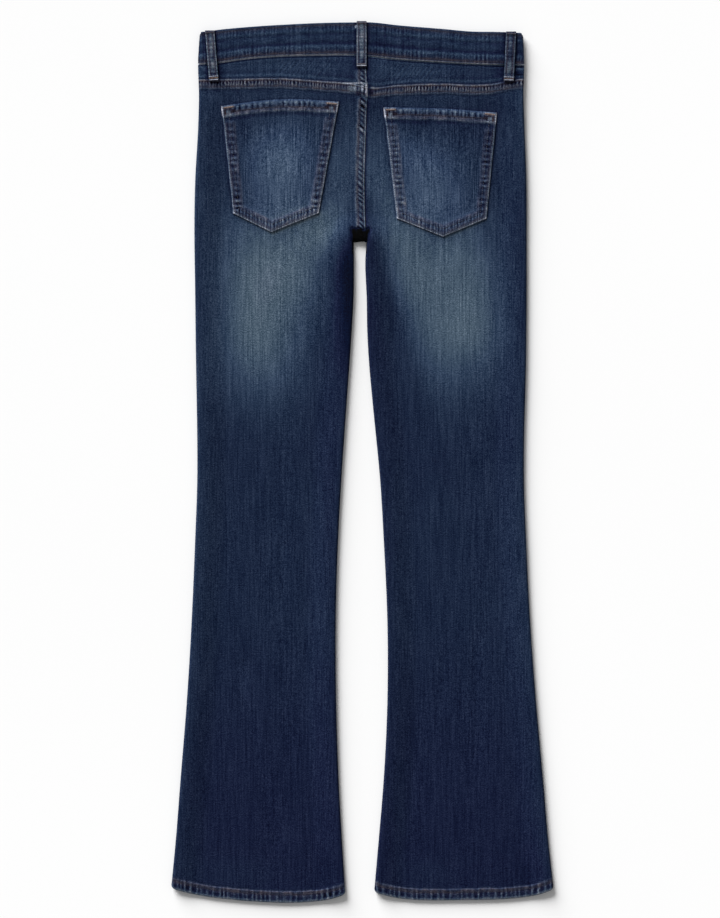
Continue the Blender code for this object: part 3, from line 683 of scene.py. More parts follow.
def fades(zones, x, down):
    """What the soft zones add to the tone."""
    total = 0.0
    for strength, middle_x, middle_down, across, along, turn in zones:
        c, s = math.cos(turn), math.sin(turn)
        u = ((x - middle_x) * c + (down - middle_down) * s) / across
        v = ((down - middle_down) * c - (x - middle_x) * s) / along
        total = total + strength * np.exp(-u * u - v * v)
    return total


def leg_tone(side, x, down):
    return np.interp(down, LEG_TONE_DOWN, LEG_TONE) + fades(FADES, x, down) + edge_light(side, x, down)


# Soft creases: from (x, down) to (x, down), half width, and height
CREASES = (
    ((-155, 800), (-108, 1034), 9, -0.5), ((-129, 522), (-132, 595), 7, -0.35),
    ((-99, 650), (-102, 728), 7, -0.3), ((-38, 545), (-36, 822), 8, -0.3),
    ((143, 761), (143, 924), 7, -0.4), ((103, 786), (97, 864), 7, -0.3),
    ((-12, 300), (-78, 396), 14, -0.5), ((12, 300), (50, 400), 14, -0.5),
    ((-60, 275), (-34, 330), 12, 0.45), ((34, 285), (52, 345), 12, 0.4),
    ((-190, 240), (-176, 330), 10, 0.4), ((186, 250), (178, 340), 10, 0.4),
    ((-150, 420), (-96, 470), 16, 0.4), ((60, 430), (120, 470), 16, 0.35),
)


def creases(x, down):
    """What the creases add to the height."""
    total = 0.0
    for (x0, d0), (x1, d1), half, height in CREASES:
        length = math.hypot(x1 - x0, d1 - d0)
        along = ((x - x0) * (x1 - x0) + (down - d0) * (d1 - d0)) / length
        across = ((x - x0) * (d1 - d0) - (down - d0) * (x1 - x0)) / length
        across = across + half * 0.4 * wander(along, 40.0, int(abs(x0 * 7 + d0)))
        ends = ease(along, -half, half) * (1 - ease(along, length - half, length + half))
        total = total + height * ends * bell(across, half)
    return total


SLACK = 0.76  # how deep the waves and creases are


def undulation(x, down):
    """The broad unevenness of cloth that lies loose: long shallow waves that run down the legs."""
    leaning = 0.26 * patches(x + 0.1 * down, down, 34.0, 210.0, 12)
    crossing = 0.16 * patches(x - 0.15 * down, down, 20.0, 110.0, 14)
    return leaning + crossing + 0.10 * patches(x, down + 0.4 * x, 70.0, 38.0, 16)


# Seams across, from their edge on: distance, tone, how strong their ticks are, warmth and height
# The yoke band's tone ends in a painted shadow line below the band's lower edge
YOKE_BAND = (
    (0, 42, 4, 0.18, -0.3), (0.6, 66, 6, 0.22, 0.25), (1.3, 90, 7, 0.3, 0.45), (2.2, 70, 9, 0.42, 0.4),
    (3, 44, 12, 0.46, 0.3), (4, 41, 42, 0.36, 0.45), (5.2, 53, 52, 0.22, 0.55), (6.8, 64, 44, 0.22, 0.55),
    (8.2, 70, 20, 0.28, 0.5), (9.4, 58, 13, 0.34, 0.35), (10.4, 54, 10, 0.3, 0.3),
    (11.6, 66, 9, 0.14, 0.45), (12.6, 62, 6, 0.08, 0.3), (13.8, 39, 2, 0, 0), (15.5, 43, 2, 0, 0),
    (19, 50, 0, 0, 0),
)
SEAT_BAND = (
    (0, 104, 6, 0.1, -0.3), (0.7, 124, 22, 0.02, 0.3), (1.5, 98, 24, 0.03, 0.45),
    (2.4, 40, 20, 0.16, 0.3), (3.6, 55, 52, 0.1, 0.5), (5.5, 64, 62, 0.08, 0.6),
    (7.2, 60, 50, 0.12, 0.45), (8.4, 44, 18, 0.3, 0.3), (9.8, 68, 12, 0.28, 0.45),
    (11.2, 76, 8, 0.16, 0.4), (12.6, 60, 4, 0.04, 0.15), (15, 52, 0, 0, 0),
)
HEM_BAND = (
    (0, 100, 6, 0.12, -0.5), (1, 104, 12, 0.16, 0), (2.2, 72, 20, 0.14, 0.1), (3.4, 46, 26, 0.1, 0.1),
    (5, 39, 30, 0.1, 0.15), (7.5, 41, 30, 0.16, 0.15), (8.6, 42, 26, 0.28, 0.05),
    (9.8, 47, 20, 0.36, -0.1), (10.8, 52, 14, 0.38, 0), (12, 52, 10, 0.4, 0.2),
    (13.2, 54, 12, 0.34, 0.25), (14.2, 50, 10, 0.2, 0.1), (15.6, 35, 3, 0.06, 0), (17.5, 30, 0, 0, 0),
)
RELIEF = 0.007  # height of a tick for each step of its tone
# How far apart the ticks of each seam are, how narrow, and how unevenly the seam's lines run
YOKE_TICKS, SEAT_TICKS = dict(pitch=3.7, narrow=1.2), dict(pitch=6.6, narrow=1.2)
HEM_TICKS, WAISTBAND_TICKS = dict(pitch=6.8, narrow=2.6), dict(pitch=4.6, narrow=1.3, uneven=0.35)
RIM_TICKS, POCKET_HEM_TICKS = dict(pitch=7.2, narrow=1.2), dict(pitch=6.2, narrow=1.7)
LOOP_TICKS = dict(pitch=4.6, uneven=0.3)


def band(profile, t, along, seed, pitch, narrow=1.0, uneven=0.5):
    """A seam at t from its edge, along it: (share of the seam, height, tone, warmth)."""
    t = t + uneven * wander(along, 9.0, seed + 3) * ease(t, 0.0, 3.0)
    table = np.array(profile)
    tone, strength, warm, height = (np.interp(t, table[:, 0], column) for column in table[:, 1:].T)
    wave = ticks(along + 0.5 * wander(3 * t + along, 7.0, seed + 4), pitch, seed, narrow)
    wave = wave * (1 + 0.5 * patches(along, t, 13.0, 30.0, seed + 8))
    worn = patches(along, t, 6.0, 2.5, seed + 6)
    height = height + RELIEF * strength * wave
    tone = np.maximum(tone * (1 + 0.16 * worn) + strength * wave, 7.0)
    share = (1 - ease(t, table[-1, 0] - 3.0, table[-1, 0])) * (t > -0.01)
    return share, height, tone, warm * (0.8 + 0.4 * worn)


YOKE_PLAIN, SEAT_PLAIN = 46.0, 55.0  # the tones of the cloth that YOKE_BAND and SEAT_BAND suit


def lay_band(cloth, seam, typical=None, follows=0.45):
    """The cloth's (height, tone, warmth) with a seam laid over it.

    Where typical is given, the seam follows the cloth's tone by a share of its distance from that.
    """
    height, tone, warm = cloth
    share, rise, seam_tone, seam_warm = seam
    if typical is not None:
        seam_tone = seam_tone + follows * (tone - typical)
    return (
        height * (1 - share) + rise * share,
        tone * (1 - share) + seam_tone * share,
        warm * (1 - share) + seam_warm * share,
    )


# Small worn or dark spots: x, down, half sizes across and along, tone and warmth
SPOTS = (
    (-11.9, 83.8, 5.5, 4.2, 112, 0.08), (-0.3, 83.2, 2, 4.6, 160, 0), (5.2, 85, 1.6, 8.5, 165, 0.16),
    (-10, 77.1, 16, 1.1, 138, 0.14), (10.5, 82.6, 5, 1.3, 95, 0.25), (11, 88.5, 3.2, 4, 26, 0.3),
    (-5, 90, 3.5, 3, 26, 0.2), (8.4, 86, 2, 8, 10, 0), (197, 56.8, 6.5, 1.1, 10, 0),
    (197, 59.2, 6.5, 1, 84, 0), (196, 66.6, 6.5, 1.3, 8, 0), (193, 63.5, 5, 1, 22, 0),
)


def add_spots(spots, cloth, x, down):
    """The cloth's (height, tone, warmth) with the spots on it."""
    height, tone, warm = cloth
    for at_x, at_down, half_x, half_down, spot_tone, spot_warm in spots:
        u, v = (x - at_x) / half_x, (down - at_down) / half_down
        share = np.exp(-((u * u) ** 2) - (v * v) ** 2) * (0.9 + 0.1 * patches(x, down, 2.0, 2.0, 33))
        tone, warm = between(tone, spot_tone, share), between(warm, spot_warm, share)
    return height, tone, warm


def seam_offset(x, down):
    """How far below the yoke's lower edge a place is."""
    return down - cross_line("yoke_foot", x) - GAP


def painted_contact_shadow(away, close, close_reach, wide, wide_reach):
    """The painted shadow beside a raised edge: one share right under it and one that reaches further."""
    return close * bell(away, close_reach) + wide * np.exp(-away / wide_reach)


def seat_band(cloth, side, x, down):
    """The felled seam down the seat, on the left side's edge, and its painted shadow on the right side."""
    height, tone, warm = cloth
    across = seat_seam(down) - x
    if side > 0:
        # painted shadow of the seam's raised edge on the right side's cloth
        shade = painted_contact_shadow(np.maximum(-across, 0.0), 0.45, 2.4, 0.1, 4.0) * (down < CROTCH)
        return height, tone * (1 - shade), warm
    roped = ease(down, 52.0, 60.0) * (across < 40)
    along = down + 0.85 * across
    share, *seam = band(SEAT_BAND, across, along, 40, **SEAT_TICKS)
    return lay_band(cloth, (share * roped, *seam), typical=SEAT_PLAIN)


HOLLOW_TOP = 254.5
# The hollow where the legs part, a shallow dip whose cloth is painted almost black as painted shade: level,
# x of its middle, and half width
HOLLOW = (
    (250, -2.6, 5), (256, -2.6, 12.2), (261, -2.7, 11.8), (267, -3.1, 10.4), (272, -3.4, 9.4),
    (284, -3.6, 8),
)


def shaded_hollow(x, down):
    """1 in the hollow, under the seat seam's end, and 0 outside it: the share of its dip and of its painted
    shade.
    """
    levels, middles, halves = zip(*HOLLOW)
    half = np.interp(down, levels, halves) + 0.8 * wander(down, 3.0, 61)
    beside = np.abs(x - np.interp(down, levels, middles))
    top = HOLLOW_TOP + 2.0 * wander(x, 2.5, 60)
    return (1 - ease(beside, half - 1.5, half + 2.5)) * ease(down, top, top + 5.0) * (down < CROTCH + 14)


def edge_light(side, x, down):
    """How much lighter the cloth is where it nears the folded outer edge."""
    beside = np.maximum(side * (outer_x(side, down) - x), 0.0)
    return SIDE_TONE * np.exp(-beside / SIDE_TONE_REACH)


def loop_painted_shade(x, down):
    """Painted shade: how much the cloth's tone is darkened beside the back loops and under them, where their
    shadows fall.
    """
    shade = 0.0 * x
    for loop in BACK_LOOPS.values():
        (top_x, top), (foot_x, foot) = loop["top"], loop["foot"]
        middle = top_x + (foot_x - top_x) * (down - top) / (foot - top)
        beside = np.maximum(np.abs(x - middle) - loop["width"] / 2, 0.0)
        away = np.hypot(beside, np.maximum(down - foot, 0.0))
        shade = np.maximum(shade, painted_contact_shadow(away, loop["shadow"], 3.0, 0.2, 5.0))
    return shade


def outside_pocket(side, x, down):
    """Distance from a pocket's outline, negative inside it."""
    top_left, top_right, left, right, tip = pocket_corners(side)
    found = []
    for (x0, down0), (x1, down1) in ((top_left, left), (left, tip), (tip, right), (right, top_right)):
        out_x, out_down = down0 - down1, x1 - x0
        found.append(((x - x0) * out_x + (down - down0) * out_down) / math.hypot(out_x, out_down))
    u = np.clip((x - top_left[0]) / (top_right[0] - top_left[0]), 0.0, 1.0)
    arch = POCKETS[side]["arch"] * np.sin(math.pi * u)
    return np.maximum.reduce(found + [between(top_left[1], top_right[1], u) - arch - down])


# How much painted light lifts the cloth's tone under each pocket's low right edge, where the pocket casts
# its shadow
POCKET_PAINTED_LIGHT = {-1: 0.34, 1: 0.12}


def pocket_painted_shade(side, x, down):
    """Painted shade: how much the cloth's tone darkens beside a pocket, less a painted light along its low
    right edge.
    """
    away = np.maximum(outside_pocket(side, x, down), 0.0)
    corner, tip = POCKETS[side]["low_left"][1], POCKETS[side]["tip"]
    shade = painted_contact_shadow(away, 0.25, 1.8, 0.05, 6.0)
    low = ease(down, corner - 6, corner + 6)
    painted_light = POCKET_PAINTED_LIGHT[side] * low * ease(x, tip[0] - 6, tip[0] + 6)
    return shade * (1 - 0.9 * low) - painted_light * bell(away - 1.5, 2.4)


def back_cloth(side, x, down):
    """Height, tone and warmth of the back panels."""
    below_seam = seam_offset(x, down)
    height = SLACK * (undulation(x, down) + creases(x, down)) * ease(below_seam, 6.0, 34.0)
    mottle = patches(x, down, 3.0, 8.0, 18) * (1 - ease(down, 260.0, 330.0))
    # the back's tone takes the painted shade beside each pocket
    tone = leg_tone(side, x, down) * (1 - pocket_painted_shade(side, x, down)) * (1 + 0.07 * mottle)
    cloth = seat_band((height, tone, 0.0 * x), side, x, down)
    yoke_band = band(YOKE_BAND, below_seam, x, 20 + side, **YOKE_TICKS)
    cloth = lay_band(cloth, yoke_band, typical=YOKE_PLAIN)
    cloth = add_spots(SPOTS, cloth, x, down)
    above_hem = hem_line(side, x) - down
    cloth = lay_band(cloth, band(HEM_BAND, above_hem, x, 70 + side, **HEM_TICKS))
    height, tone, warm = cloth
    # the crotch hollow dips and is painted almost black as painted shade; the loops' painted shade darkens
    # the cloth beside them
    dark = shaded_hollow(x, down)
    tone = tone * (1 - 0.96 * dark) * (1 - loop_painted_shade(x, down))
    return height - 1.6 * dark, np.maximum(tone, 0.5), np.clip(warm * (1 - dark), 0.0, 1.0)


# ---- panels


def column_plan(middles, extra):
    """Where a panel's columns are: factors of the fold's radius, its reach, the width and the seam's step.

    The columns turn over the folded edge, run down from it, cross the middle and mirror that. extra
    more lead on from the inner edge to the seam.
    """
    turn = [(1 - math.cos(a), 0.0) for a in np.linspace(0, math.pi / 2, 9)]
    down = [(1 - f, f) for f in np.linspace(0, 1, 17)[1:]]
    first = [(p, q, 0.0, 0.0) for p, q in turn + down]
    middle = [(0.0, 1 - 2 * s, s, 0.0) for s in np.linspace(0, 1, middles + 1)[1:-1]]
    last = [(-p, -q, 1.0, 0.0) for p, q, _, _ in reversed(first)]
    beyond = [(0.0, 0.0, 1.0, e) for e in np.linspace(0, 1, extra + 1)[1:]]
    return np.array(first + middle + last + beyond)


def finer(plan, times):
    """The plan with each step between columns cut into several."""
    at = np.linspace(0, len(plan) - 1, (len(plan) - 1) * times + 1)
    return np.stack([np.interp(at, np.arange(len(plan)), column) for column in plan.T], axis=1)


def lay_out(side, levels, plan, seam, follow, start=None):
    """x and down of each point of a panel, by level and column. follow(level, x) gives down."""
    level = np.asarray(levels, float)[:, None] + np.zeros(len(plan))
    inset = drawn_in(hem_level(side) - level, HEM_CORNER)

    def across(down):
        radius = fold_radius(down)
        first = outer_x(side, down) if start is None else start(side, down)
        end = inner_x(side, down) + side * inset
        first = first - side * inset
        width = np.abs(end - first)
        reach = np.minimum(FOLD_REACH, width / 3)
        offset = radius * plan[:, 0] + reach * plan[:, 1] + width * plan[:, 2]
        return first - side * offset + (seam(down) - end) * plan[:, 3]

    x = across(level)
    down = follow(level, x)
    return across(down), follow(level, across(down))


def back_seam(side):
    """The line that the back's panels and yokes reach at the seat."""
    return lambda down: seat_seam(down) + (0.0 if side < 0 else GAP)


def steps(start, end, pitch):
    """Levels from start to end, about one pitch apart, in a count of steps that suits a thinner inside."""
    count = max(int(round((end - start) / pitch / THIN)), 1) * THIN
    return np.linspace(start, end, count + 1)


YOKE_TOP_LEVEL, YOKE_LEVEL = 53.0, 76.0  # the even levels that a yoke's rows are laid out between
# How far the rows that lie closer go from the yoke's seam, and above the crotch and the hems
SEAM_RUN, CROTCH_RUN, FRONT_CROTCH_RUN, HEM_RUN = 16.0, 20, 16, 20
BACK_PITCHES, FRONT_PITCHES = (1.3, 0.9, 3.2, 0.8), (4.0, 1.6, 4.5, 1.3)  # of the rows, by levels_down
BAND_FINER = 3  # how much closer the columns are on a seam across
BACK_COLUMNS, SEAT_COLUMNS = 56, {-1: 32, 1: 4}
INSIDE_TONE = 1.5  # how much lighter the cloth's inside is


def levels_down(side, start, crotch_run, pitches):
    """Levels below start: as far as the crotch, down the leg, and at the hem."""
    hem_at = hem_level(side)
    stops = (start, CROTCH - crotch_run, CROTCH, hem_at - HEM_RUN, hem_at)
    hip, crotch, leg, hem = (steps(a, b, p)[1:] for a, b, p in zip(stops, stops[1:], pitches))
    return np.concatenate([hip, crotch]), leg, hem


def at_hem(side, x, level):
    """How far the rows near a leg's hem move down, so that they run along it."""
    return (hem_line(side, x) - hem_level(side)) * ease(level, hem_level(side) - 120, hem_level(side) - 18)


def panel_points(side, x, down, back, inside):
    """A panel's places, tone and warmth, on its outer face or its inside."""
    height, tone, warm = back_cloth(side, x, down) if back else front_cloth(side, x, down)
    turned = HEM_TURN * (hem_line(side, x) - down < HEM_HEIGHT)
    if inside:
        return on_cloth(side, x, down, back, 0.0, turned, DENIM + turned), tone * INSIDE_TONE, warm
    return on_cloth(side, x, down, back, height, turned), tone, warm


def panel(name, plan, extra, upper, lower, points):
    """A panel from runs of (levels, how much finer their columns are), above and below the crotch.

    The lower runs leave out the last extra columns. points(levels, columns, inside) gives the places,
    the tone and the warmth.
    """
    legs = plan[: len(plan) - extra]
    mesh, outer, inner = Mesh(), [], []
    for runs, columns in ((upper, plan), (lower, legs)):
        for levels, times in runs:
            outer += list(mesh.add(*points(levels, finer(columns, times), False)))
    for runs, columns, first in ((upper, plan, 0), (lower, legs, THIN - 1)):
        levels = np.concatenate([run[0] for run in runs])[first::THIN]
        inner += list(mesh.add(*points(levels, columns[::THIN], True)))
    step_at = sum(len(levels) for levels, _ in upper) - 1
    mesh.sheet(outer, inner, step_at, len(legs) - 1)
    return mesh.build(name)


def lined_sheet(name, outer, inside, tone, warm, inside_tone, material_name="denim"):
    """A closed sheet from the places of its outer face and of its inside."""
    mesh = Mesh()
    rows = list(mesh.add(outer, tone, warm))
    thin = (slice(None, None, THIN), slice(None, None, THIN))
    mesh.sheet(rows, list(mesh.add(inside[thin], tone[thin] * inside_tone)))
    return mesh.build(name, material_name)


def back_panel(side):
    extra = SEAT_COLUMNS[side]

    def follow(level, x):
        top = cross_line("yoke_foot", x) + GAP - YOKE_LEVEL
        upper = 1 - ease(level, YOKE_LEVEL + SEAM_RUN, YOKE_LEVEL + 80)
        return level + top * upper + at_hem(side, x, level)

    def points(levels, columns, inside):
        x, down = lay_out(side, levels, columns, back_seam(side), follow)
        return panel_points(side, x, down, True, inside)

    seam = np.linspace(YOKE_LEVEL, YOKE_LEVEL + SEAM_RUN, 24 + 1)
    hip, leg, hem = levels_down(side, seam[-1], CROTCH_RUN, BACK_PITCHES)
    upper = ((seam[:-1], BAND_FINER), (np.concatenate([seam[-1:], hip]), 1))
    lower = ((leg, 1), (hem, BAND_FINER))
    plan = column_plan(BACK_COLUMNS, extra)
    return panel(f"back_{side_word(side)}", plan, extra, upper, lower, points)


RIGHT_YOKE_MOST = 70.0  # the most that the right yoke's tone rises at its edges
# What a yoke's tone changes by, below the waistband and above its own lower edge: a painted light line right
# under the waistband's foot, and painted shadow lines below it and along the yoke's seam
BELOW_BAND = ((0, 150), (0.6, 125), (1.1, 30), (1.6, -20), (2.4, -28), (3.2, 0), (4, 7), (6, -2), (10, 0))
ABOVE_SEAM = (
    (0, -12), (0.8, -9), (1.6, -6), (2.4, 4), (3.4, 12), (4.4, 6), (5.4, -3), (7, -9), (9, -6), (12, 0),
)


def yoke_cloth(side, x, down):
    below_band = down - cross_line("waist_foot", x) - GAP
    above_seam = cross_line("yoke_foot", x) - down
    middle = ease(below_band, 3.0, 10.0) * ease(above_seam, 2.0, 8.0)
    drag = ticks(x + 0.75 * down, 5.2, 90 + side) * middle
    strength = bell(x + 78.0, 34.0) + 0.45 * bell(x - 60.0, 60.0) + 0.2
    height = undulation(x, down) * middle + 0.16 * drag * strength - 0.3 * hump(below_band, 0.0, 4.0)
    tone = YOKE_TONE[side] + fades(YOKE_FADES, x, down) + 8.0 * drag * strength + edge_light(side, x, down)
    tone = tone * (1 + 0.09 * patches(x, down + 0.4 * x, 3.0, 4.0, 19))
    # the painted light and shadow lines along the waistband's foot and the yoke's seam
    for beside, table in ((below_band, BELOW_BAND), (above_seam, ABOVE_SEAM)):
        change = straight(table, beside)
        tone = tone + (change if side < 0 else np.minimum(change, RIGHT_YOKE_MOST))
    height, tone, warm = add_spots(SPOTS, seat_band((height, tone, 0.0 * x), side, x, down), x, down)
    # the yoke takes the back loops' painted shade beside them
    return height, np.maximum(tone * (1 - loop_painted_shade(x, down)), 3.0), warm


def yoke(side):
    plan = finer(column_plan(BACK_COLUMNS, SEAT_COLUMNS[side]), 2)

    def follow(level, x):
        top = cross_line("waist_foot", x) + GAP
        share = (level - YOKE_TOP_LEVEL) / (YOKE_LEVEL - YOKE_TOP_LEVEL)
        return between(top, cross_line("yoke_foot", x), share)

    x, down = lay_out(side, steps(YOKE_TOP_LEVEL, YOKE_LEVEL, 0.6), plan, back_seam(side), follow)
    height, tone, warm = yoke_cloth(side, x, down)
    outer = on_cloth(side, x, down, True, height)
    inside = on_cloth(side, x, down, True, depth=DENIM)
    return lined_sheet(f"yoke_{side_word(side)}_cloth", outer, inside, tone, warm, INSIDE_TONE)


# ---- waistband


def band_rings():
    """The waistband's sections in order from its flap: x, side and angle, -90 in front and 90 behind."""
    rings = []
    edges = {s: outer_x(s, BAND_MIDDLE_DOWN) for s in (-1, 1)}
    radius = (WAISTBAND_HIGH - WAISTBAND_LOW) / 2
    left, right = edges[-1] + radius, edges[1] - radius
    turn = np.linspace(-90, 90, 13)
    rings += [(x, -1, -90.0) for x in np.linspace(FLAP_END_X - GAP, left, 141)[:-1]]
    rings += [(left, -1, a) for a in turn]
    rings += [(x, 1 if x > 0 else -1, 90.0) for x in np.linspace(left, right, 323)[1:-1]]
    rings += [(right, 1, a) for a in turn[::-1]]
    rings += [(x, 1, -90.0) for x in np.linspace(right, FLAP_END_X, 121)[1:]]
    return np.array(rings)


def band_section():
    """A waistband section as (share of the height up from the foot, rounding, depth)."""
    fine, coarse = np.arange(0.0, 4.0, 0.4) / BAND_HEIGHT, np.linspace(4.0, 36.0, 29)[:-1] / BAND_HEIGHT
    outer = [(v, 0.0, 0.0) for v in np.concatenate([fine, coarse, 1 - fine[::-1]])]
    over = [(1.0, math.sin(a), (1 - math.cos(a)) / 2) for a in np.linspace(0, math.pi, 7)[1:-1]]
    inner = [(v, 0.0, 1.0) for v in np.linspace(1, 0, 11)]
    return np.array(outer + over + inner)


BAND_CORNER = 5.0  # radius of the waistband's upper corners
TURNING = 89.9  # a section turns round a side where its angle is less than this


def on_waistband(x, side, angle, share, rounding=0.0, depth=0.0, out=0.0):
    """Places on the waistband. share goes from its foot to its top, and out raises the outer face."""
    front = 0.5 - 0.5 * np.sin(np.radians(angle))
    turned = np.abs(angle) < TURNING
    dip = front_dip(x) * np.where(turned, 0.0, front)
    top, foot = cross_line("waist_top", x) + dip, cross_line("waist_foot", x) + dip
    down = between(foot, top + WAISTBAND_ROUND, share) - WAISTBAND_ROUND * rounding
    middle, radius = (WAISTBAND_LOW + WAISTBAND_HIGH) / 2, (WAISTBAND_HIGH - WAISTBAND_LOW) / 2
    a = np.radians(angle)
    beside = np.where(turned, radius * (1 - np.cos(a)), side * (outer_x_at(side, BAND_MIDDLE_DOWN) - x))
    down = down + drawn_in(beside, BAND_CORNER) * share
    centre = np.where(turned, outer_x_at(side, down) - side * radius, x)
    reach = radius - WAISTBAND_WALL * depth + out * np.where(turned, 0.5, 1.0)
    at_x = centre + side * reach * np.cos(a) * turned
    return places(at_x, down, middle + reach * np.sin(a))


def outer_x_at(side, down):
    return np.where(side < 0, outer_x(-1, down), outer_x(1, down))


# The waistband from its foot up, like the seams. Its tone holds a painted light line along the foot, and
# painted light and shade on its soft rolls: lighter on their crests, darker in the troughs
WAISTBAND_BAND = (
    (0, 220, 6, 0.06, -0.3), (0.4, 122, 12, 0.1, -0.05), (0.8, 60, 12, 0.24, 0),
    (1.5, 46, 10, 0.36, -0.05), (2.4, 46, 8, 0.42, -0.12), (3.4, 48, 8, 0.42, -0.05),
    (4.4, 44, 14, 0.28, 0.05), (5.4, 48, 22, 0.16, 0.12), (6.5, 47, 21, 0.06, 0.16),
    (7.75, 49, 22, 0, 0.2), (9, 54, 18, 0, 0.26), (10.25, 60, 16, 0, 0.28), (11.5, 57, 13, 0, 0.22),
    (12.75, 39, 8, 0, 0.04), (14, 31, 4, 0, -0.1), (15.25, 32, 3, 0, -0.12), (17, 40, 3, 0, -0.02),
    (19, 45, 3, 0, 0.08), (22, 46, 4, 0, 0.1), (24, 44, 3, 0, 0.02), (26.3, 37.5, 3, 0, -0.12),
    (27.75, 43, 6, 0, -0.02), (29, 51, 9, 0, 0.12), (30.25, 58, 10, 0, 0.24), (31.5, 55, 13, 0, 0.24),
    (32.75, 48, 14, 0, 0.16), (34.5, 43, 13, 0.04, 0.08), (36, 46, 10, 0.18, 0.02),
    (37.5, 49, 6, 0.34, -0.08), (38.6, 50, 4, 0.2, 0), (39.6, 50, 3, 0, 0), (41, 50, 2, 0, 0),
)


def band_cloth(along, above):
    """Height, tone and warmth of the waistband, above being how far up from its foot."""
    _, height, tone, warm = band(WAISTBAND_BAND, above, along, 101, **WAISTBAND_TICKS)
    height = height + 0.1 * wander(along, 24.0, 103) * hump(above, 22.0, 18.0)
    return height, tone + 3.0 * wander(along, 33.0, 104) + 2.0 * wander(along, 9.0, 107), warm


BAND_INSIDE_TONE = 62.0


def waistband():
    rings, section = band_rings(), band_section()
    x, side, angle = (rings[:, k, None] for k in range(3))
    share, rounding, depth = section.T
    middle = on_waistband(x[:, 0], side[:, 0], angle[:, 0], 0.5)
    along = lengths_along(middle)
    above = BAND_HEIGHT * share + WAISTBAND_ROUND * rounding
    height, tone, warm = band_cloth(along[:, None], above + 0 * x)
    height = height * (depth < 0.01)
    behind = angle > 0
    height = np.where(behind, height, np.minimum(height, 0.0))
    down = on_waistband(x, side, angle, share + 0 * x, rounding, depth, 0 * height)[..., 1]
    # the waistband behind takes the back loops' painted shade beside them
    tone = (tone + behind * fades(BAND_FADES, x, down)) * (1 - 0.9 * behind * loop_painted_shade(x, down))
    height, tone, warm = add_spots(BAND_SPOTS, (height, tone, warm), np.where(behind, x, 1e3), down)
    points = on_waistband(x, side, angle, share + 0 * x, rounding, depth, height)
    inside = ease(depth, 0.6, 0.9)
    mesh = Mesh()
    mesh.solid(points, tone * (1 - inside) + BAND_INSIDE_TONE * inside, warm * (1 - inside))
    return mesh.build("waistband_cloth")


# ---- patch pockets


def pocket_corners(side):
    words = ("top_left", "top_right", "low_left", "low_right", "tip")
    return [np.array(POCKETS[side][word]) for word in words]


def pocket_foot(side, u):
    """Where a pocket's tip is, as a share of its width, and down along its foot."""
    _, _, left, right, tip = pocket_corners(side)
    turn = (tip[0] - left[0]) / (right[0] - left[0])
    return turn, np.interp(u, [0, turn, 1], [left[1], tip[1], right[1]])


def on_pocket(side, u, v):
    """x and down on a pocket, u running across and v down, with how far each edge is."""
    top_left, top_right, left, right, tip = pocket_corners(side)
    turn, low_down = pocket_foot(side, u)
    top_down = between(top_left[1], top_right[1], u) - POCKETS[side]["arch"] * np.sin(math.pi * u)
    x = between(between(top_left[0], top_right[0], u), between(left[0], right[0], u), v)
    down = between(top_down, low_down, v)
    width = (top_right[0] - top_left[0]) * (1 - v) + (right[0] - left[0]) * v
    slopes = [(tip[1] - end[1]) / abs(tip[0] - end[0]) for end in (left, right)]
    low = (low_down - top_down) * (1 - v) / np.hypot(1, np.where(u < turn, *slopes))
    return x, down, (width * u, width * (1 - u), (low_down - top_down) * v, low)


# The turned edges of a pocket: its sides and foot, and then its hem along the top
RIM_BAND = (
    (0, 90, 6, 0.04, -0.3), (0.8, 134, 12, 0.04, 0.3), (1.6, 94, 12, 0.1, 0.4), (2.6, 57, 8, 0.26, 0.4),
    (3.8, 51, 12, 0.26, 0.5), (5.2, 50, 24, 0.14, 0.55), (7, 52, 34, 0.08, 0.55),
    (8.5, 55, 34, 0.1, 0.45), (10, 59, 26, 0.16, 0.5), (11.5, 58, 16, 0.2, 0.55),
    (12.8, 62, 8, 0.22, 0.4), (14, 60, 3, 0.12, 0.15), (16.5, 53, 0, 0, 0),
)
# The pocket hem's tone ends in a painted shadow line below the hem
POCKET_HEM_BAND = (
    (0, 50, 4, 0, -0.3), (1, 64, 4, 0, 0.2), (2.1, 76, -8, 0.06, 0.45), (3.2, 86, -28, 0.04, 0.55),
    (4.4, 76, -38, 0.04, 0.6), (5.6, 61, -38, 0.06, 0.6), (7, 58, -34, 0.1, 0.5),
    (8.5, 57, -24, 0.24, 0.4), (9.5, 56, -12, 0.36, 0.3), (10.7, 66, 10, 0.32, 0.4),
    (12.2, 68, 10, 0.28, 0.5), (13.4, 92, 12, 0.22, 0.5), (14.4, 74, 8, 0.14, 0.25), (15.8, 38, 3, 0, 0),
    (17.2, 36, 2, 0, 0), (22, 46, 0, 0, 0),
)
# Worn and dark spots at a pocket's upper corners, as SPOTS, but from its side and its top
CORNER_SPOTS = (
    (0.9, 6.4, 1.1, 7.4, 195, 0.05), (8, 0.9, 8, 0.8, 92, 0.1), (9.2, 3.2, 6.6, 1.5, 70, 0.7),
    (8.4, 5.8, 5.6, 0.8, 28, 0.4), (8.2, 8.4, 2.6, 2, 118, 0), (4.2, 9.2, 1, 4.2, 40, 0.8),
    (14, 7.8, 2.4, 1.9, 24, 0.5), (8.6, 12.4, 5.6, 1.2, 116, 0.05), (11.6, 8.6, 0.8, 2.6, 34, 0.4),
)


LEFT_EDGE = {-1: 1.1, 1: 1.35}  # how wide the strip of plain cloth is beside a pocket's left line
RIM_SHADE = {-1: (1.0, 1.0), 1: (1.1, 0.93)}  # factors of the tone of the left and right rims
POCKET_PLAIN = 53.0  # the tone of the cloth that RIM_BAND and POCKET_HEM_BAND suit


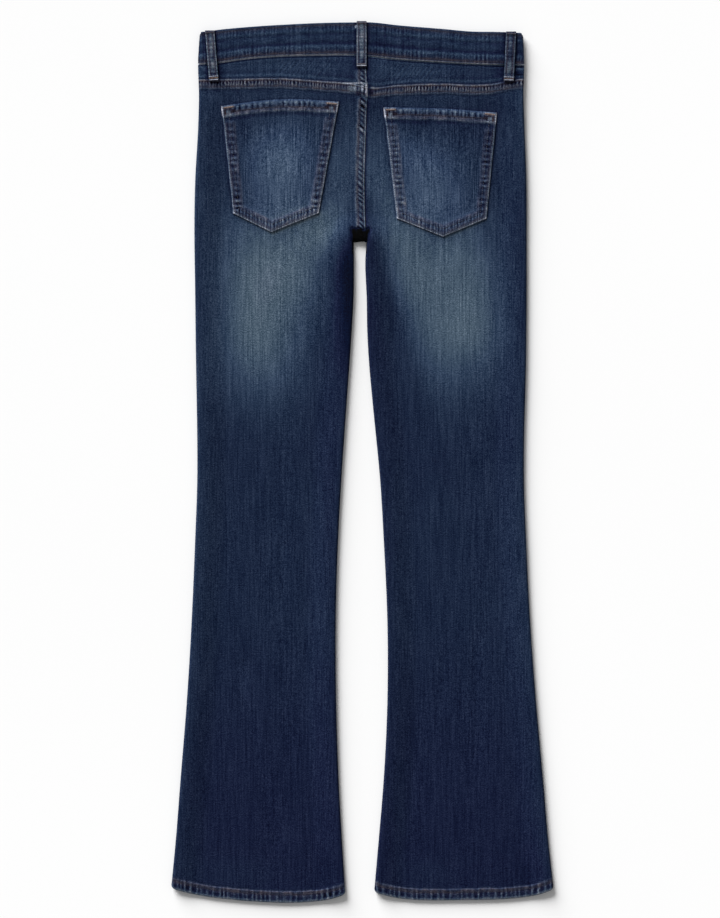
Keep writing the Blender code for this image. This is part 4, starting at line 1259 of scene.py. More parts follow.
def pocket_cloth(side, x, down, edges):
    """Height, tone and warmth of a pocket."""
    left, right, top, low = edges
    seed, nearer = 120 + 10 * side, np.minimum(left, right)
    beside = np.minimum(np.maximum(left - LEFT_EDGE[side], 0.0), right)
    outer = np.minimum(beside, low + 0.4)
    foot = ease(beside - low, -1.0, 1.0)
    along = np.where(foot < 0.5, down, 1.7 * x)
    height = 0.45 * ease(outer, 10.0, 40.0) * ease(top, 11.0, 50.0)
    height = height + 0.12 * wander(x + 0.2 * down, 17.0, seed + 2) * ease(outer, 10.0, 24.0)
    level, change = POCKET_TONE[side]
    plain = level + change * (down - 180.0) / 100 + fades(POCKET_FADES[side], x, down)
    rim = band(RIM_BAND, outer, along, seed, **RIM_TICKS)
    on_right = right < np.minimum(left, low)
    on_left = (left < np.minimum(right, low)) * ease(left, 3.5, 5.0)
    rim_shade = np.where(on_right, RIM_SHADE[side][1], 1 + (RIM_SHADE[side][0] - 1) * on_left)
    far_left = 1 - 0.5 * (1 - ease(left, 0.2, 1.5)) * (left < right)
    ridge = foot * (8.0 * hump(low, 15.5, 4.5) - 7.0 * hump(low, 12.0, 3.5))
    worn = 1 + 0.32 * patches(outer, along, 2.6, 3.4, seed + 5) * hump(outer, 7.0, 6.0)
    rim = (*rim[:2], rim[2] * rim_shade * far_left * worn, rim[3])
    height, tone, warm = lay_band((height, plain, 0.0 * x), rim, POCKET_PLAIN, 0.7)
    cloth = (height, tone + ridge, warm)
    hem = band(POCKET_HEM_BAND, top, x, seed + 9, **POCKET_HEM_TICKS)
    cloth = lay_band(cloth, (hem[0] * ease(nearer, 1.0, 3.0), *hem[1:]), POCKET_PLAIN, 0.3)
    height, tone, warm = add_spots(CORNER_SPOTS, cloth, nearer, top)
    corner = bell(low - 1.0, 1.6) * bell(beside - 1.0, 1.6)
    tone, warm = tone + 60.0 * corner, warm * (1 - corner)
    return height, np.maximum(tone, 4.0), np.clip(warm, 0.0, 1.0)


def pocket_steps(length, rim, pitch):
    """Shares of a length with closer steps on the rims at its ends."""
    first, last = np.linspace(0, rim, 25)[:-1], np.linspace(length - rim, length, 25)[1:]
    return np.concatenate([first, steps(rim, length - rim, pitch), last]) / length


def pocket(side):
    top_left, top_right, _, _, tip = pocket_corners(side)
    u = pocket_steps(top_right[0] - top_left[0], 14.0, 1.4)
    v = pocket_steps(tip[1] - top_left[1], 15.0, 1.5)
    x, down, edges = on_pocket(side, *np.meshgrid(u, v))
    height, tone, warm = pocket_cloth(side, x, down, edges)
    under = back_top(x, down) + POCKET_CLEAR
    outer, inside = places(x, down, under + DENIM + height), places(x, down, under)
    return lined_sheet(f"pocket_{side_word(side)}_cloth", outer, inside, tone, warm, 0.8, "pocket")


# ---- belt loops

# How the tone of each back loop's middle changes on its way down: down and change
LOOP_WEAR = {
    "belt_loop_back_left": ((11, 0), (20, 8), (33, 0), (36, -30), (39, 0), (50, 10), (62, 0), (66, -30)),
    "belt_loop_back_centre": ((0, 0), (8, 10), (40, 10), (46, -8), (51, -30), (56, 0)),
    "belt_loop_back_right": ((12, 22), (20, 5), (26, -16), (44, -16), (52, 14), (61, 14), (66, -20)),
}
LOOP_BAND = (
    (0, 66, 8, 0.16, -0.3), (0.6, 124, 14, 0.1, 0), (1.3, 88, 12, 0.16, 0), (2.2, 47, 6, 0.32, -0.12),
    (3.2, 54, 8, 0.28, 0), (4.4, 84, 16, 0.18, 0.08), (5.4, 94, 18, 0.12, 0.1), (6.5, 92, 18, 0.12, 0.1),
)


def loop_cloth(across, along, length, width, seed, wear=0.0):
    """Height, tone and warmth on a loop's face, across running from -1 to 1."""
    in_mm = (1 - np.abs(across)) * width / 2
    _, height, tone, warm = band(LOOP_BAND, in_mm, along, seed, **LOOP_TICKS)
    tone = tone + 30.0 * patches(across * 8, along, 5.0, 9.0, seed + 1) * ease(in_mm, 2.0, 4.0)
    ends = np.minimum(along, length - along)
    tone = tone + wear * ease(in_mm, 1.6, 4.0)
    tone = tone + (56.0 - tone) * 0.7 * hump(ends, 0.8, 1.6)
    return height, np.clip(tone, 12.0, 200.0), warm + 0.2 * hump(ends, 1.0, 1.8)


# A loop's section: across from -1 to 1, and depth from 0 on its face to 1 under it
LOOP_FACE = np.linspace(-1, 1, 21)
LOOP_ACROSS = np.concatenate([LOOP_FACE, [1.0, 1.0], LOOP_FACE[::-2], [-1.0, -1.0]])
LOOP_DEPTH = np.concatenate([0 * LOOP_FACE, [0.35, 0.75], 0 * LOOP_FACE[::-2] + 1, [0.75, 0.35]])


def loop_mesh(name, top, foot, width, under_over, up, seed, shade=1.0, wear=((0, 0),)):
    """A belt loop: a folded strip with rounded edges.

    under_over(x, down) gives the heights of its underside and its face, and up is 1 where it faces
    up and -1 where it faces down.
    """
    length = math.hypot(foot[0] - top[0], foot[1] - top[1])
    share = steps(0.0, 1.0, 0.7 / length)[:, None]
    x_mid, down = between(top[0], foot[0], share), between(top[1], foot[1], share)
    under, over = under_over(x_mid, down)
    changes = straight(wear, down)
    across = LOOP_ACROSS + 0 * share
    height, tone, warm = loop_cloth(across, share * length, length, width, seed, changes)
    round_end = 1 - 0.25 * hump(np.minimum(share, 1 - share) * length, 0.0, 0.9)
    thick = (over - under) * round_end + up * height * (LOOP_DEPTH == 0)
    z = under + thick * (1 - LOOP_DEPTH)
    mesh = Mesh()
    mesh.solid(places(x_mid + across * width / 2, down, z), tone * shade, warm)
    return mesh.build(name)


def back_loop(name):
    loop = BACK_LOOPS[name]
    foot, half = loop["foot"], loop["width"] / 2
    reaches_yoke = foot[1] - LOOP_FOOT
    on_band = WAISTBAND_HIGH + GAP

    def heights(x, down):
        on_yoke = np.maximum(back_top(x - half, down), back_top(x + half, down)) + SEAM_RAISE + GAP
        past_band = ease(down, cross_line("waist_foot", x), reaches_yoke)
        rise = LOOP_RISE * np.sin(math.pi * np.minimum(down / reaches_yoke, 1.0)) ** 2
        under = np.maximum(between(on_band, on_yoke, past_band), on_yoke) + rise
        ends = np.minimum(down - loop["top"][1], foot[1] - down)
        return under, under + LOOP_WALL + LOOP_END_RAISE * (1 - ease(ends, 4.0, 6.0))

    seed = 150 + int(foot[0]) % 7
    ends = (name + "_cloth", loop["top"], foot)
    return loop_mesh(*ends, loop["width"], heights, 1, seed, loop["shade"], LOOP_WEAR[name])


def front_loop(name):
    x = FRONT_LOOPS[name]
    top = (x, float(cross_line("waist_top", x) + front_dip(x)) + GAP)
    foot = (x, float(cross_line("waist_foot", x) + front_dip(x)) + FRONT_LOOP_BELOW)

    def heights(_, down):
        share = (down - top[1]) / (foot[1] - top[1])
        under = WAISTBAND_LOW - GAP - FRONT_LOOP_RISE * np.sin(math.pi * share) ** 2
        return under, FRONT_LOOP_LOW + 0 * down

    return loop_mesh(name + "_cloth", top, foot, FRONT_LOOP_WIDTH, heights, -1, 170 + int(x) % 7)


# ---- stitches


def stitch_template():
    """A stitch as (along, across, up) points: a thread that rises from its hole and dips into the next."""
    points = []
    for along, size, rise in ((-0.5, 0.35, -0.7), (-0.3, 1.0, 0.0), (0.3, 1.0, 0.0), (0.5, 0.35, -0.7)):
        for k in range(5):
            a = 2 * math.pi * (k + 0.5) / 5
            points.append((along, size * math.cos(a), size * math.sin(a) + rise))
    quads = []
    for ring in range(3):
        for k in range(5):
            n = (k + 1) % 5
            quads.append((ring * 5 + k, ring * 5 + n, ring * 5 + 5 + n, ring * 5 + 5 + k))
    caps = [(0, 1, 2), (0, 2, 3), (0, 3, 4), (15, 17, 16), (15, 18, 17), (15, 19, 18)]
    return np.array(points), np.array(quads), np.array(caps)


STITCH, STITCH_SIDES, STITCH_CAPS = stitch_template()


def unit(vectors):
    return vectors / np.linalg.norm(vectors, axis=1, keepdims=True)


def add_stitches(mesh, centres, along, facing, length, half, tone, warm, seed):
    """Stitches at these centres, each with its direction, on cloth that faces up, 1, or down, -1."""
    rng = np.random.default_rng(seed)
    count = len(centres)
    along, up = unit(along), np.tile([0.0, 0.0, float(facing)], (count, 1))
    across = unit(np.cross(along, up))
    long = length * rng.uniform(0.9, 1.08, count)
    points = (
        centres[:, None]
        + along[:, None] * (STITCH[:, 0] * long[:, None])[..., None]
        + across[:, None] * (STITCH[:, 1] * half)[None, :, None]
        + up[:, None] * (STITCH[:, 2] * half * 0.8)[None, :, None]
    )
    worn = rng.uniform(-1, 1, count)[:, None]
    tones = np.clip(tone * (1 + 0.22 * worn), 5, 235) + np.zeros(len(STITCH))
    warms = np.clip(warm - 0.25 * np.maximum(worn, 0), 0, 1) + np.zeros(len(STITCH))
    start = mesh.count
    mesh.add(points, tones, warms)
    offsets = start + len(STITCH) * np.arange(count)[:, None, None]
    mesh.faces.append((STITCH_SIDES + offsets).reshape(-1, 4))
    mesh.faces.append((STITCH_CAPS + offsets).reshape(-1, 3))


TACK_PITCH = 0.62
PATH_STEP = 0.8  # between the places that a row of stitches is laid through
FINE = dict(pitch=2.7, length=2.0, half=0.3)


def stitch_row(mesh, path, tone=70.0, warm=0.7, facing=1, pitch=2.9, length=2.1, half=0.36, seed=1):
    """A row of stitches along a path of places on the cloth."""
    lengths = lengths_along(path)
    count = int(lengths[-1] / pitch)
    at = (np.arange(count) + 0.5) * lengths[-1] / count
    centre, before, after = (
        np.stack([np.interp(at + move, lengths, path[:, k]) for k in range(3)], axis=-1)
        for move in (0.0, -1.0, 1.0)
    )
    centre = centre + (0, 0, 0.12 * facing)
    add_stitches(mesh, centre, after - before, facing, length, half, tone, warm, seed)


def bartack(mesh, middle, reach, tone=95.0, warm=0.9, facing=1, wide=1.9, seed=1):
    """A dense zigzag of thread over a short line, reach being half of that line as (x, down)."""
    reach = np.array([*reach, 0.0])
    size = np.linalg.norm(reach)
    count = int(2 * size / TACK_PITCH)
    shares = np.linspace(-1, 1, count)[:, None]
    normal = np.array([-reach[1], reach[0], 0.0]) / size
    lean = reach / size * np.where(np.arange(count) % 2, 0.35, -0.35)[:, None]
    centres = np.asarray(middle) + reach * shares + (0, 0, 0.2 * facing)
    add_stitches(mesh, centres, normal + lean, facing, wide, 0.4, tone, warm, seed)


def back_path(x, down):
    """Places on the back's outer face, wrinkles and seams included."""
    x, down = np.broadcast_arrays(np.asarray(x, float), np.asarray(down, float))
    found = np.zeros(x.shape + (3,))
    for side in (-1, 1):
        on_side = (x < seat_seam(down)) == (side < 0)
        at_x, at_down = x[on_side], down[on_side]
        below = at_down > cross_line("yoke_foot", at_x) + GAP
        heights = (cloth(side, at_x, at_down)[0] for cloth in (back_cloth, yoke_cloth))
        turned = HEM_TURN * (hem_line(side, at_x) - at_down < HEM_HEIGHT)
        found[on_side] = on_cloth(side, at_x, at_down, True, np.where(below, *heights), turned)
    return found


def clear_of_loops(x):
    """The runs of x that no back loop covers."""
    covered = np.zeros(len(x), bool)
    for loop in BACK_LOOPS.values():
        covered |= np.abs(x - loop["top"][0] / 2 - loop["foot"][0] / 2) < loop["width"] / 2 + 0.5
    marks = np.flatnonzero(np.diff(np.concatenate([[True], covered, [True]]).astype(int)))
    return [x[a:b] for a, b in zip(marks[::2], marks[1::2]) if b - a > 4]


LOW_ROW, HIGH_ROW = 2.7, 37.7  # how far up the waistband's rows of stitches are


def waistband_row(mesh, x, above, angle, out, **looks):
    row = on_waistband(x, np.sign(x), np.full(len(x), angle), above / BAND_HEIGHT, out=out)
    stitch_row(mesh, row, **looks)


def waistband_stitches():
    mesh = Mesh()
    for k, x in enumerate(clear_of_loops(np.arange(-199.0, 197.5, PATH_STEP))):
        for above, tone in ((LOW_ROW, 50.0), (HIGH_ROW, 40.0)):
            height = band_cloth(x, above + 0 * x)[0]
            waistband_row(mesh, x, above, 90.0, height, tone=tone, warm=0.6, seed=200 + k, **FINE)
    for k, (start, end) in enumerate(((-198.0, 13.0), (15.0, 196.0))):
        for above in (LOW_ROW, HIGH_ROW):
            x = np.arange(start, end, PATH_STEP)
            waistband_row(mesh, x, above, -90.0, -0.3, facing=-1, seed=210 + k)
    return mesh.build("waistband_stitches", "thread")


def seam_stitches():
    mesh = Mesh()
    for k, (start, end) in enumerate(((-201.0, 5.0), (7.4, 199.0))):
        x = np.arange(start, end, PATH_STEP)
        for offset, tone in ((2.6, 46.0), (10.2, 47.0)):
            row = back_path(x, cross_line("yoke_foot", x) + GAP + offset)
            stitch_row(mesh, row, tone, 0.6, seed=220 + k, **FINE)
    for offset, tone in ((2.8, 52.0), (8.4, 56.0)):
        for start, end, seed in ((60.0, 74.5, 230), (94.0, 252.0, 231)):
            down = np.arange(start, end, PATH_STEP)
            row = back_path(seat_seam(down) - offset, down)
            stitch_row(mesh, row, tone, 0.45, pitch=2.8, length=2.0, half=0.3, seed=seed + int(offset))
    return mesh.build("seam_stitches", "thread")


HEM_ROW = 9.9  # how far above the hem's edge its stitches are


def hem_stitches():
    mesh = Mesh()
    for side in (-1, 1):
        corner_down = HEMS[side]["outer"]
        start, end = sorted((outer_x(side, corner_down), inner_x(side, corner_down)))
        x = np.arange(start + 3.5, end - 3.5, PATH_STEP)
        down = hem_line(side, x) - HEM_ROW
        stitch_row(mesh, back_path(x, down), tone=40.0, warm=0.6, pitch=2.8, half=0.3, seed=240 + side)
        front = on_cloth(side, x, down, False, -0.35)
        stitch_row(mesh, front, tone=60.0, facing=-1, pitch=2.8, seed=244 + side)
    return mesh.build("hem_stitches", "thread")


def pocket_line(side, u, v):
    """Places on a pocket's face."""
    x, down, edges = on_pocket(side, u, v)
    height = pocket_cloth(side, x, down, edges)[0]
    return places(x, down, back_top(x, down) + POCKET_CLEAR + DENIM + height)


def pocket_stitches(side):
    mesh = Mesh()
    top_left, top_right, left, right, tip = pocket_corners(side)
    wide, tall = top_right[0] - top_left[0], tip[1] - top_left[1]
    turn, _ = pocket_foot(side, 0.0)
    for offset, tone, warm, seed in ((2.2, 66.0, 0.3, 250), (8.7, 50.0, 0.4, 260)):
        v = np.linspace(1.5 / tall, 1 - offset * 1.05 / tall, 160)
        local = top_right[0] - top_left[0] + (right[0] - left[0] - wide) * v
        for k, u in enumerate((offset / local, 1 - offset / local)):
            stitch_row(mesh, pocket_line(side, u, v), tone, warm, seed=seed + k)
        for k, (start, end) in enumerate(((offset / 118, turn), (turn, 1 - offset / 118))):
            u = np.linspace(start, end, 90)
            tall_here = pocket_foot(side, u)[1] - between(top_left[1], top_right[1], u)
            v = 1 - offset * 1.09 / tall_here
            stitch_row(mesh, pocket_line(side, u, v), tone, warm, seed=seed + 4 + k)
    u = np.linspace(10.0 / wide, 1 - 10.0 / wide, 200)
    stitch_row(mesh, pocket_line(side, u, 9.4 / tall + 0 * u), 52.0, 0.7, half=0.3, seed=270)
    for k, (at, lean) in enumerate(((9.2 / wide, 1), (1 - 8.6 / wide, -1))):
        place = pocket_line(side, np.array([at]), np.array([3.2 / tall]))[0]
        tilt = (top_right[1] - top_left[1]) / wide - lean * 0.1
        bartack(mesh, place, (5.8, 5.8 * tilt), tone=104.0, warm=0.75, wide=2.3, seed=280 + k)
    return mesh.build(f"pocket_{side_word(side)}_stitches", "thread")


# The bartacks at each back loop's foot: how far up they are, their tone and their warmth
LOOP_TACKS = {
    "belt_loop_back_left": ((1.9, 150, 0.05), (4.2, 86, 1), (6.2, 140, 0.15)),
    "belt_loop_back_centre": ((2.2, 158, 0.1), (4.4, 78, 0.55)),
    "belt_loop_back_right": ((1.9, 140, 0.15), (3.9, 70, 0.9), (5.8, 135, 0.15)),
}


def loop_stitches():
    """The rows down the back loops, and the bartacks at their feet and tops."""
    mesh = Mesh()
    for name, loop in BACK_LOOPS.items():
        cloth = bpy.data.objects[name + "_cloth"]
        points = np.array([v.co[:] for v in cloth.data.vertices]) * 1000
        rings = points.reshape(-1, len(LOOP_ACROSS), 3) * (1, -1, 1) + (0, TOP_Y, 0)
        for column in (4, 16):
            path = rings[4:-10, column]
            stitch_row(mesh, path, tone=52.0, warm=0.5, pitch=2.8, length=2.0, half=0.28, seed=290 + column)
        slant = np.array(loop["foot"]) - loop["top"]
        slant = slant / np.linalg.norm(slant)
        reach = np.array([slant[1], -slant[0]]) * (loop["width"] / 2 - 0.5)
        middle = rings[:, len(LOOP_FACE) // 2]
        tacks = [(foot, tone, warm, -1) for foot, tone, warm in LOOP_TACKS[name]] + [(2.6, 52.0, 0.6, 0)]
        for k, (away, tone, warm, end) in enumerate(tacks):
            from_end = np.abs(middle[:, 1] - middle[end, 1])
            place = middle[np.argmin(np.abs(from_end - away))] + (0, 0, 0.1)
            bartack(mesh, place, reach, tone, warm, wide=1.25, seed=300 + k)
    return mesh.build("loop_stitches", "thread")


# ---- the front


# Where the rows that fan out stand on the ellipse of a front pocket's mouth, in degrees
SCOOP_ANGLES = (0, 24, 46, 64, 76, 82, 90)
FRONT_COLUMNS, FRONT_EXTRA = 28, 8
FLY_WIDTH, FLY_BENDS, FLY_ENDS = 38.0, 148.0, 176.0


def under_front_band(x):
    return cross_line("waist_foot", x) + front_dip(x) + GAP


def scoop_start(side):
    """Down, where a front pocket's mouth leaves the waistband."""
    return under_front_band(outer_x(side, CROSS_LINES[0][2]))


def scoop_x(side, level):
    """The edge of a front pocket's mouth at one level: a quarter of an ellipse."""
    share = np.clip((level - scoop_start(side)) / SCOOP_DEPTH, 0.0, 1.0)
    return outer_x(side, level) - side * SCOOP_WIDTH * np.sqrt(1 - share * share)


def fan(side, level, x):
    """down of a row that fans out from the curved line under the waistband to a level one."""
    start = scoop_start(side)
    angle = np.degrees(np.arcsin(np.clip((level - start) / SCOOP_DEPTH, 0.0, 1.0)))
    share = 1 - np.interp(angle, SCOOP_ANGLES, np.linspace(0, 1, len(SCOOP_ANGLES)))
    return level + np.maximum(under_front_band(x) - start, 0.0) * share**1.5


def fly_line(down):
    """x of the fly's curved topstitching on the left front panel."""
    bend = ease(down, FLY_BENDS, FLY_ENDS)
    return -FLY_WIDTH * np.sqrt(np.maximum(1 - bend**1.6, 0.0))


# The worn zones down the middle of each front leg: tone, level, and half sizes across and along
FRONT_FADES = ((34, 330, 42, 150), (9, 620, 40, 90))
HEM_SUNK = 0.45  # how far in the front hems' seams lie


def front_cloth(side, x, down):
    """Height, tone and warmth of the front panels, which only sink in from the face they lie on."""
    rise = 0.5 * undulation(x, down)
    tone = 40.0 - 8.0 * ease(down, 500.0, 900.0)
    for strength, level, half, tall in FRONT_FADES:
        tone = tone + strength * bell(x - 0.5 * outer_x(side, down), half) * bell(down - level, tall)
    whiskers = 0.0
    for k in range(4):
        line = 250.0 + 17.0 * k - 0.32 * np.abs(x) + 5 * wander(x, 40.0, 320 + k)
        reach = ease(np.abs(x), 18.0, 40.0) * (1 - ease(np.abs(x), 90.0, 150.0))
        whiskers = whiskers + hump(down, line, 4.5) * reach
    tone = tone + 12.0 * whiskers + edge_light(side, x, down)
    rise = rise + 0.2 * whiskers
    seam = (down < CROTCH) * hump(x, 0.0, 1.6)
    rise = rise - 0.3 * seam
    tone = tone * (1 - 0.4 * seam) + 26.0 * hump(np.abs(x), 2.2, 1.2) * (down < CROTCH)
    if side < 0:
        rise = rise - 0.2 * hump(x, fly_line(down), 3.0) * (down < 170.0)
    hem = band(HEM_BAND, hem_line(side, x) - down, x, 80 + side, **HEM_TICKS)
    cloth = (rise - HEM_SUNK, tone, 0.0 * x)
    height, tone, warm = lay_band(cloth, (hem[0], hem[1] - HEM_SUNK, *hem[2:]))
    return np.minimum(height, 0.0), np.maximum(tone, 3.0), warm


def front_panel(side):
    scooped = scoop_start(side) + SCOOP_DEPTH

    def seam(down):
        return side * GAP / 2 + 0 * down

    def edge(side, down):
        return np.where(down < scooped, scoop_x(side, down), outer_x(side, down))

    def follow(level, x):
        return np.where(level < scooped, fan(side, level, x), level + at_hem(side, x, level))

    def points(levels, columns, inside):
        x, down = lay_out(side, levels, columns, seam, follow, edge)
        level_x, _ = lay_out(side, levels, columns, seam, lambda level, x: level, edge)
        above = levels[:, None] < scooped
        x = np.where(above, level_x, x)
        down = np.where(above, fan(side, levels[:, None] + 0 * x, x), down)
        return panel_points(side, x, down, False, inside)

    mouth = scoop_start(side) + SCOOP_DEPTH * np.sin(np.linspace(0, math.pi / 2, 41))
    hip, leg, hem = levels_down(side, scooped, FRONT_CROTCH_RUN, FRONT_PITCHES)
    upper = ((np.concatenate([mouth, hip]), 1),)
    lower = ((np.concatenate([leg, hem]), 1),)
    plan = column_plan(FRONT_COLUMNS, FRONT_EXTRA)
    return panel(f"front_{side_word(side)}", plan, FRONT_EXTRA, upper, lower, points)


def facing(side):
    """The denim in a front pocket's mouth, which steps in behind the front panel."""
    levels = scoop_start(side) + SCOOP_DEPTH * np.sin(np.radians(np.linspace(0, 82.0, 25)))
    levels[-1] -= GAP
    rows = []
    for level in levels:
        edge, mouth, radius = outer_x(side, level), scoop_x(side, level), fold_radius(level)
        turn = edge - side * radius * (1 - np.cos(np.linspace(0, math.pi / 2, 9)))
        room = abs(mouth - turn[-1])
        plain = turn[-1] - side * np.linspace(0, room - SCOOP_CLEAR, 29)[1:]
        lap = mouth - side * np.linspace(0, SCOOP_LAP, 5)[:-1]
        xs = np.concatenate([turn, plain, lap])
        sunk = ease(np.abs(xs - turn[-1]), room * 0.3, room - SCOOP_CLEAR) * (DENIM + GAP)
        rows.append((xs, fan(side, level + 0 * xs, xs), sunk))
    x, down, sunk = (np.array([row[k] for row in rows]) for k in range(3))
    # painted shade: the facing's tone is darker where it sinks in behind the front panel's edge
    tone = 44.0 + 6.0 * wander(x + down, 30.0, 330) - 22.0 * ease(sunk, 0.9, 1.3)
    outer = on_cloth(side, x, down, False, -sunk)
    inside = on_cloth(side, x, down, False, -sunk, depth=DENIM)
    return lined_sheet(f"facing_{side_word(side)}_cloth", outer, inside, tone, 0.0, 1.4)


def front_stitches():
    mesh = Mesh()

    def row(side, x, down, seed, sunk=-0.4):
        path = on_cloth(side, x, down, False, sunk)
        stitch_row(mesh, path, tone=78.0, warm=0.8, facing=-1, half=0.3, seed=seed)

    for offset in (0.0, 5.5):
        down = np.concatenate([np.arange(74.0, 150.0, 1.0), np.linspace(150.0, 175.6, 60)])
        x = fly_line(down) + offset * (1 - ease(down, 150.0, 172.0) * 0.2)
        keep = x < -1.0
        row(-1, x[keep], down[keep], 340 + int(offset))
    down = np.arange(178.0, 262.0, 1.0)
    for x in (-2.6, -8.0):
        row(-1, x + 0 * down, down, 346)
    for side in (-1, 1):
        for offset, seed in ((2.2, 350), (7.6, 352)):
            level = scoop_start(side) + SCOOP_DEPTH * np.sin(np.linspace(0.02, 1.36, 120))
            x = scoop_x(side, level) - side * offset
            row(side, x, fan(side, level, x) + offset * 0.4, seed + side)
    bartack(mesh, (-8.0, 176.0, 0.35), (5.5, 2.0), facing=-1, wide=1.6, seed=356)
    return mesh.build("front_stitches", "thread")


def behind_fly(down):
    """Height of the zip's tape, just inside the front panels."""
    return lift(down) + DENIM + GAP


RIB_PITCH, TOOTH_PITCH = 1.3, 1.05


def zip_tape():
    """The zip's two woven tapes, which meet under the teeth."""
    mesh = Mesh()
    top = slider_top() - 1.5
    levels = np.linspace(top, top + ZIP_LENGTH, 93)[:, None]
    for side in (-1, 1):
        face = side * np.linspace(0.15, ZIP_HALF_WIDTH, 21)
        across = np.concatenate([face, face[::-1]])
        on_face = np.concatenate([0 * face + 1, 0 * face])
        rib = np.cos(across * 2 * math.pi / RIB_PITCH)
        z = behind_fly(levels) + (ZIP_TAPE + 0.04 * rib) * on_face - 0.05
        mesh.solid(places(across, levels, z), 24.0 + 5.0 * rib)
    return mesh.build("zip_tape", "tape")


def zip_teeth():
    """Interlocked brass teeth, turn by turn from one tape and the other."""
    mesh = Mesh()
    start = slider_top() + SLIDER_LENGTH + 1.0
    for k, down in enumerate(np.arange(start, slider_top() + ZIP_LENGTH - 4.0, TOOTH_PITCH)):
        side = -1 if k % 2 else 1
        low = float(behind_fly(down)) + ZIP_TAPE - 0.2
        block(mesh, (side * 2.6, -side * 0.7), (down - 0.42, down + 0.42), (low, low + 0.6))
    return mesh.build("zip_teeth", "brass")


def plate(mesh, outline, layers):
    """A solid with one ring for each layer (inset, z). outline(inset) gives its (x, down) places."""
    mesh.solid([[(x, down, z) for x, down in outline(inset)] for inset, z in layers])


def block(mesh, xs, downs, heights):
    """A small block with bevelled upper edges."""
    (x0, x1), (d0, d1), (z0, z1) = sorted(xs), downs, heights
    bevel = min(x1 - x0, d1 - d0, z1 - z0) * 0.25
    corners = ((x0, d0, 1, 1), (x1, d0, -1, 1), (x1, d1, -1, -1), (x0, d1, 1, -1))

    def outline(inset):
        return [(x + inset * to_x, d + inset * to_d) for x, d, to_x, to_d in corners]

    plate(mesh, outline, ((0.0, z0), (0.0, z1 - bevel), (bevel, z1)))


# The outline of the slider's body: share of its length, and half width
SLIDER_OUTLINE = ((0.0, 3.0), (0.12, 3.8), (0.35, 4.0), (0.6, 3.4), (0.85, 2.9), (1.0, 2.6))
PULL_MIDDLE, PULL_HALF_LENGTH, PULL_HALF_WIDTH, PULL_FLARE = 7.4, 3.3, 2.2, 0.5


def slider():
    """The zip's slider: a shield-shaped body, a bridge over it, and a pull that lies along it."""
    mesh = Mesh()
    top = slider_top()
    low = float(behind_fly(top)) + ZIP_TAPE + GAP

    def body(inset):
        right = [(half - inset, top + SLIDER_LENGTH * share) for share, half in SLIDER_OUTLINE]
        return right + [(-x, down) for x, down in right[::-1]]

    def pull(inset):
        for a in np.linspace(0, 2 * math.pi, 25)[:-1]:
            half = PULL_HALF_WIDTH + PULL_FLARE * math.cos(a) - inset
            down = top + PULL_MIDDLE + (PULL_HALF_LENGTH - inset) * math.cos(a)
            yield half * math.sin(a), down

    plate(mesh, body, ((0.3, low), (0.0, low + 0.15), (0.0, low + 0.55), (0.3, low + 0.7)))
    block(mesh, (-0.9, 0.9), (top + 1.2, top + 4.6), (low + 0.6, low + 1.55))
    plate(mesh, pull, ((0.2, low + 0.75), (0.0, low + 0.9), (0.0, low + 1.1), (0.2, low + 1.25)))
    return mesh.build("zip_pull_and_body", "brass", sharp=35.0)


# The button's profile: radius, and height above the table
BUTTON_PROFILE = (
    (0.0, 0.25), (2.4, 0.3), (4.2, 0.5), (5.4, 0.55), (6.0, 0.2), (6.8, 0.0), (7.6, 0.1), (8.2, 0.4),
    (8.5, 0.9), (8.4, 1.4), (8.0, 1.8), (7.2, 2.0), (4.0, 2.0), (4.0, 2.3), (0.0, 2.3),
)


def button():
    """The shank button: a domed cap with a raised ring, turned from its profile."""
    middle = float((cross_line("waist_top", 0.0) + cross_line("waist_foot", 0.0)) / 2 + front_dip(0.0))
    angles = np.linspace(0, 2 * math.pi, 41)[:-1]
    mesh = Mesh()
    numbers = mesh.add(np.array([
        places(radius * np.cos(angles), middle + radius * np.sin(angles), z)
        for radius, z in BUTTON_PROFILE[1:-1]
    ]))
    closed = np.concatenate([numbers, numbers[:, :1]], axis=1)
    mesh.weave(list(closed))
    for ring, (_, z) in ((closed[0], BUTTON_PROFILE[0]), (closed[-1], BUTTON_PROFILE[-1])):
        centre = mesh.add(np.array([[0.0, middle, z]]))[0]
        mesh.faces.append(np.stack([ring[:-1], ring[1:], np.full(len(ring) - 1, centre)], axis=1))
    return mesh.build("waist_button_cap", "brass", sharp=40.0)


# ---- putting it together


def place(obj, slot, *nodes):
    """Attaches a piece to the root body and hides the CAD nodes that it replaces. Its slot is not used."""
    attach(obj, "root")
    if nodes:
        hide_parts(*nodes)
    return obj


# The cut of each sheet as it shows: width and length in millimetres, the area in square metres where
# it isn't a rectangle, and what it lies on
CUTS = {
    "back_left": (246, 1032, 0.200, ("front_left",)),
    "back_right": (237, 1028, 0.197, ("front_right",)),
    "front_left": (239, 1043, 0.195, ()),
    "front_right": (239, 1032, 0.194, ()),
    "yoke_left_cloth": (212, 41, 0.0059, ("front_left",)),
    "yoke_right_cloth": (200, 40, 0.0055, ("front_right",)),
    "pocket_left_cloth": (148, 167, 0.0190, ("back_left",)),
    "pocket_right_cloth": (143, 162, 0.0185, ("back_right",)),
    "facing_left_cloth": (100, 73, 0.0056, ()),
    "facing_right_cloth": (100, 73, 0.0056, ()),
    "waistband_cloth": (822, 41, None, ()),
    "belt_loop_back_left_cloth": (12.0, 65, None, ("waistband_cloth", "yoke_left_cloth")),
    "belt_loop_back_centre_cloth": (13.0, 59, None, ("waistband_cloth", "yoke_left_cloth")),
    "belt_loop_back_right_cloth": (12.5, 64, None, ("waistband_cloth", "yoke_right_cloth")),
    "belt_loop_front_left_cloth": (12.5, 53, None, ("waistband_cloth",)),
    "belt_loop_front_right_cloth": (12.5, 55, None, ("waistband_cloth",)),
    "zip_tape": (26, 94, None, ("front_right",)),
}


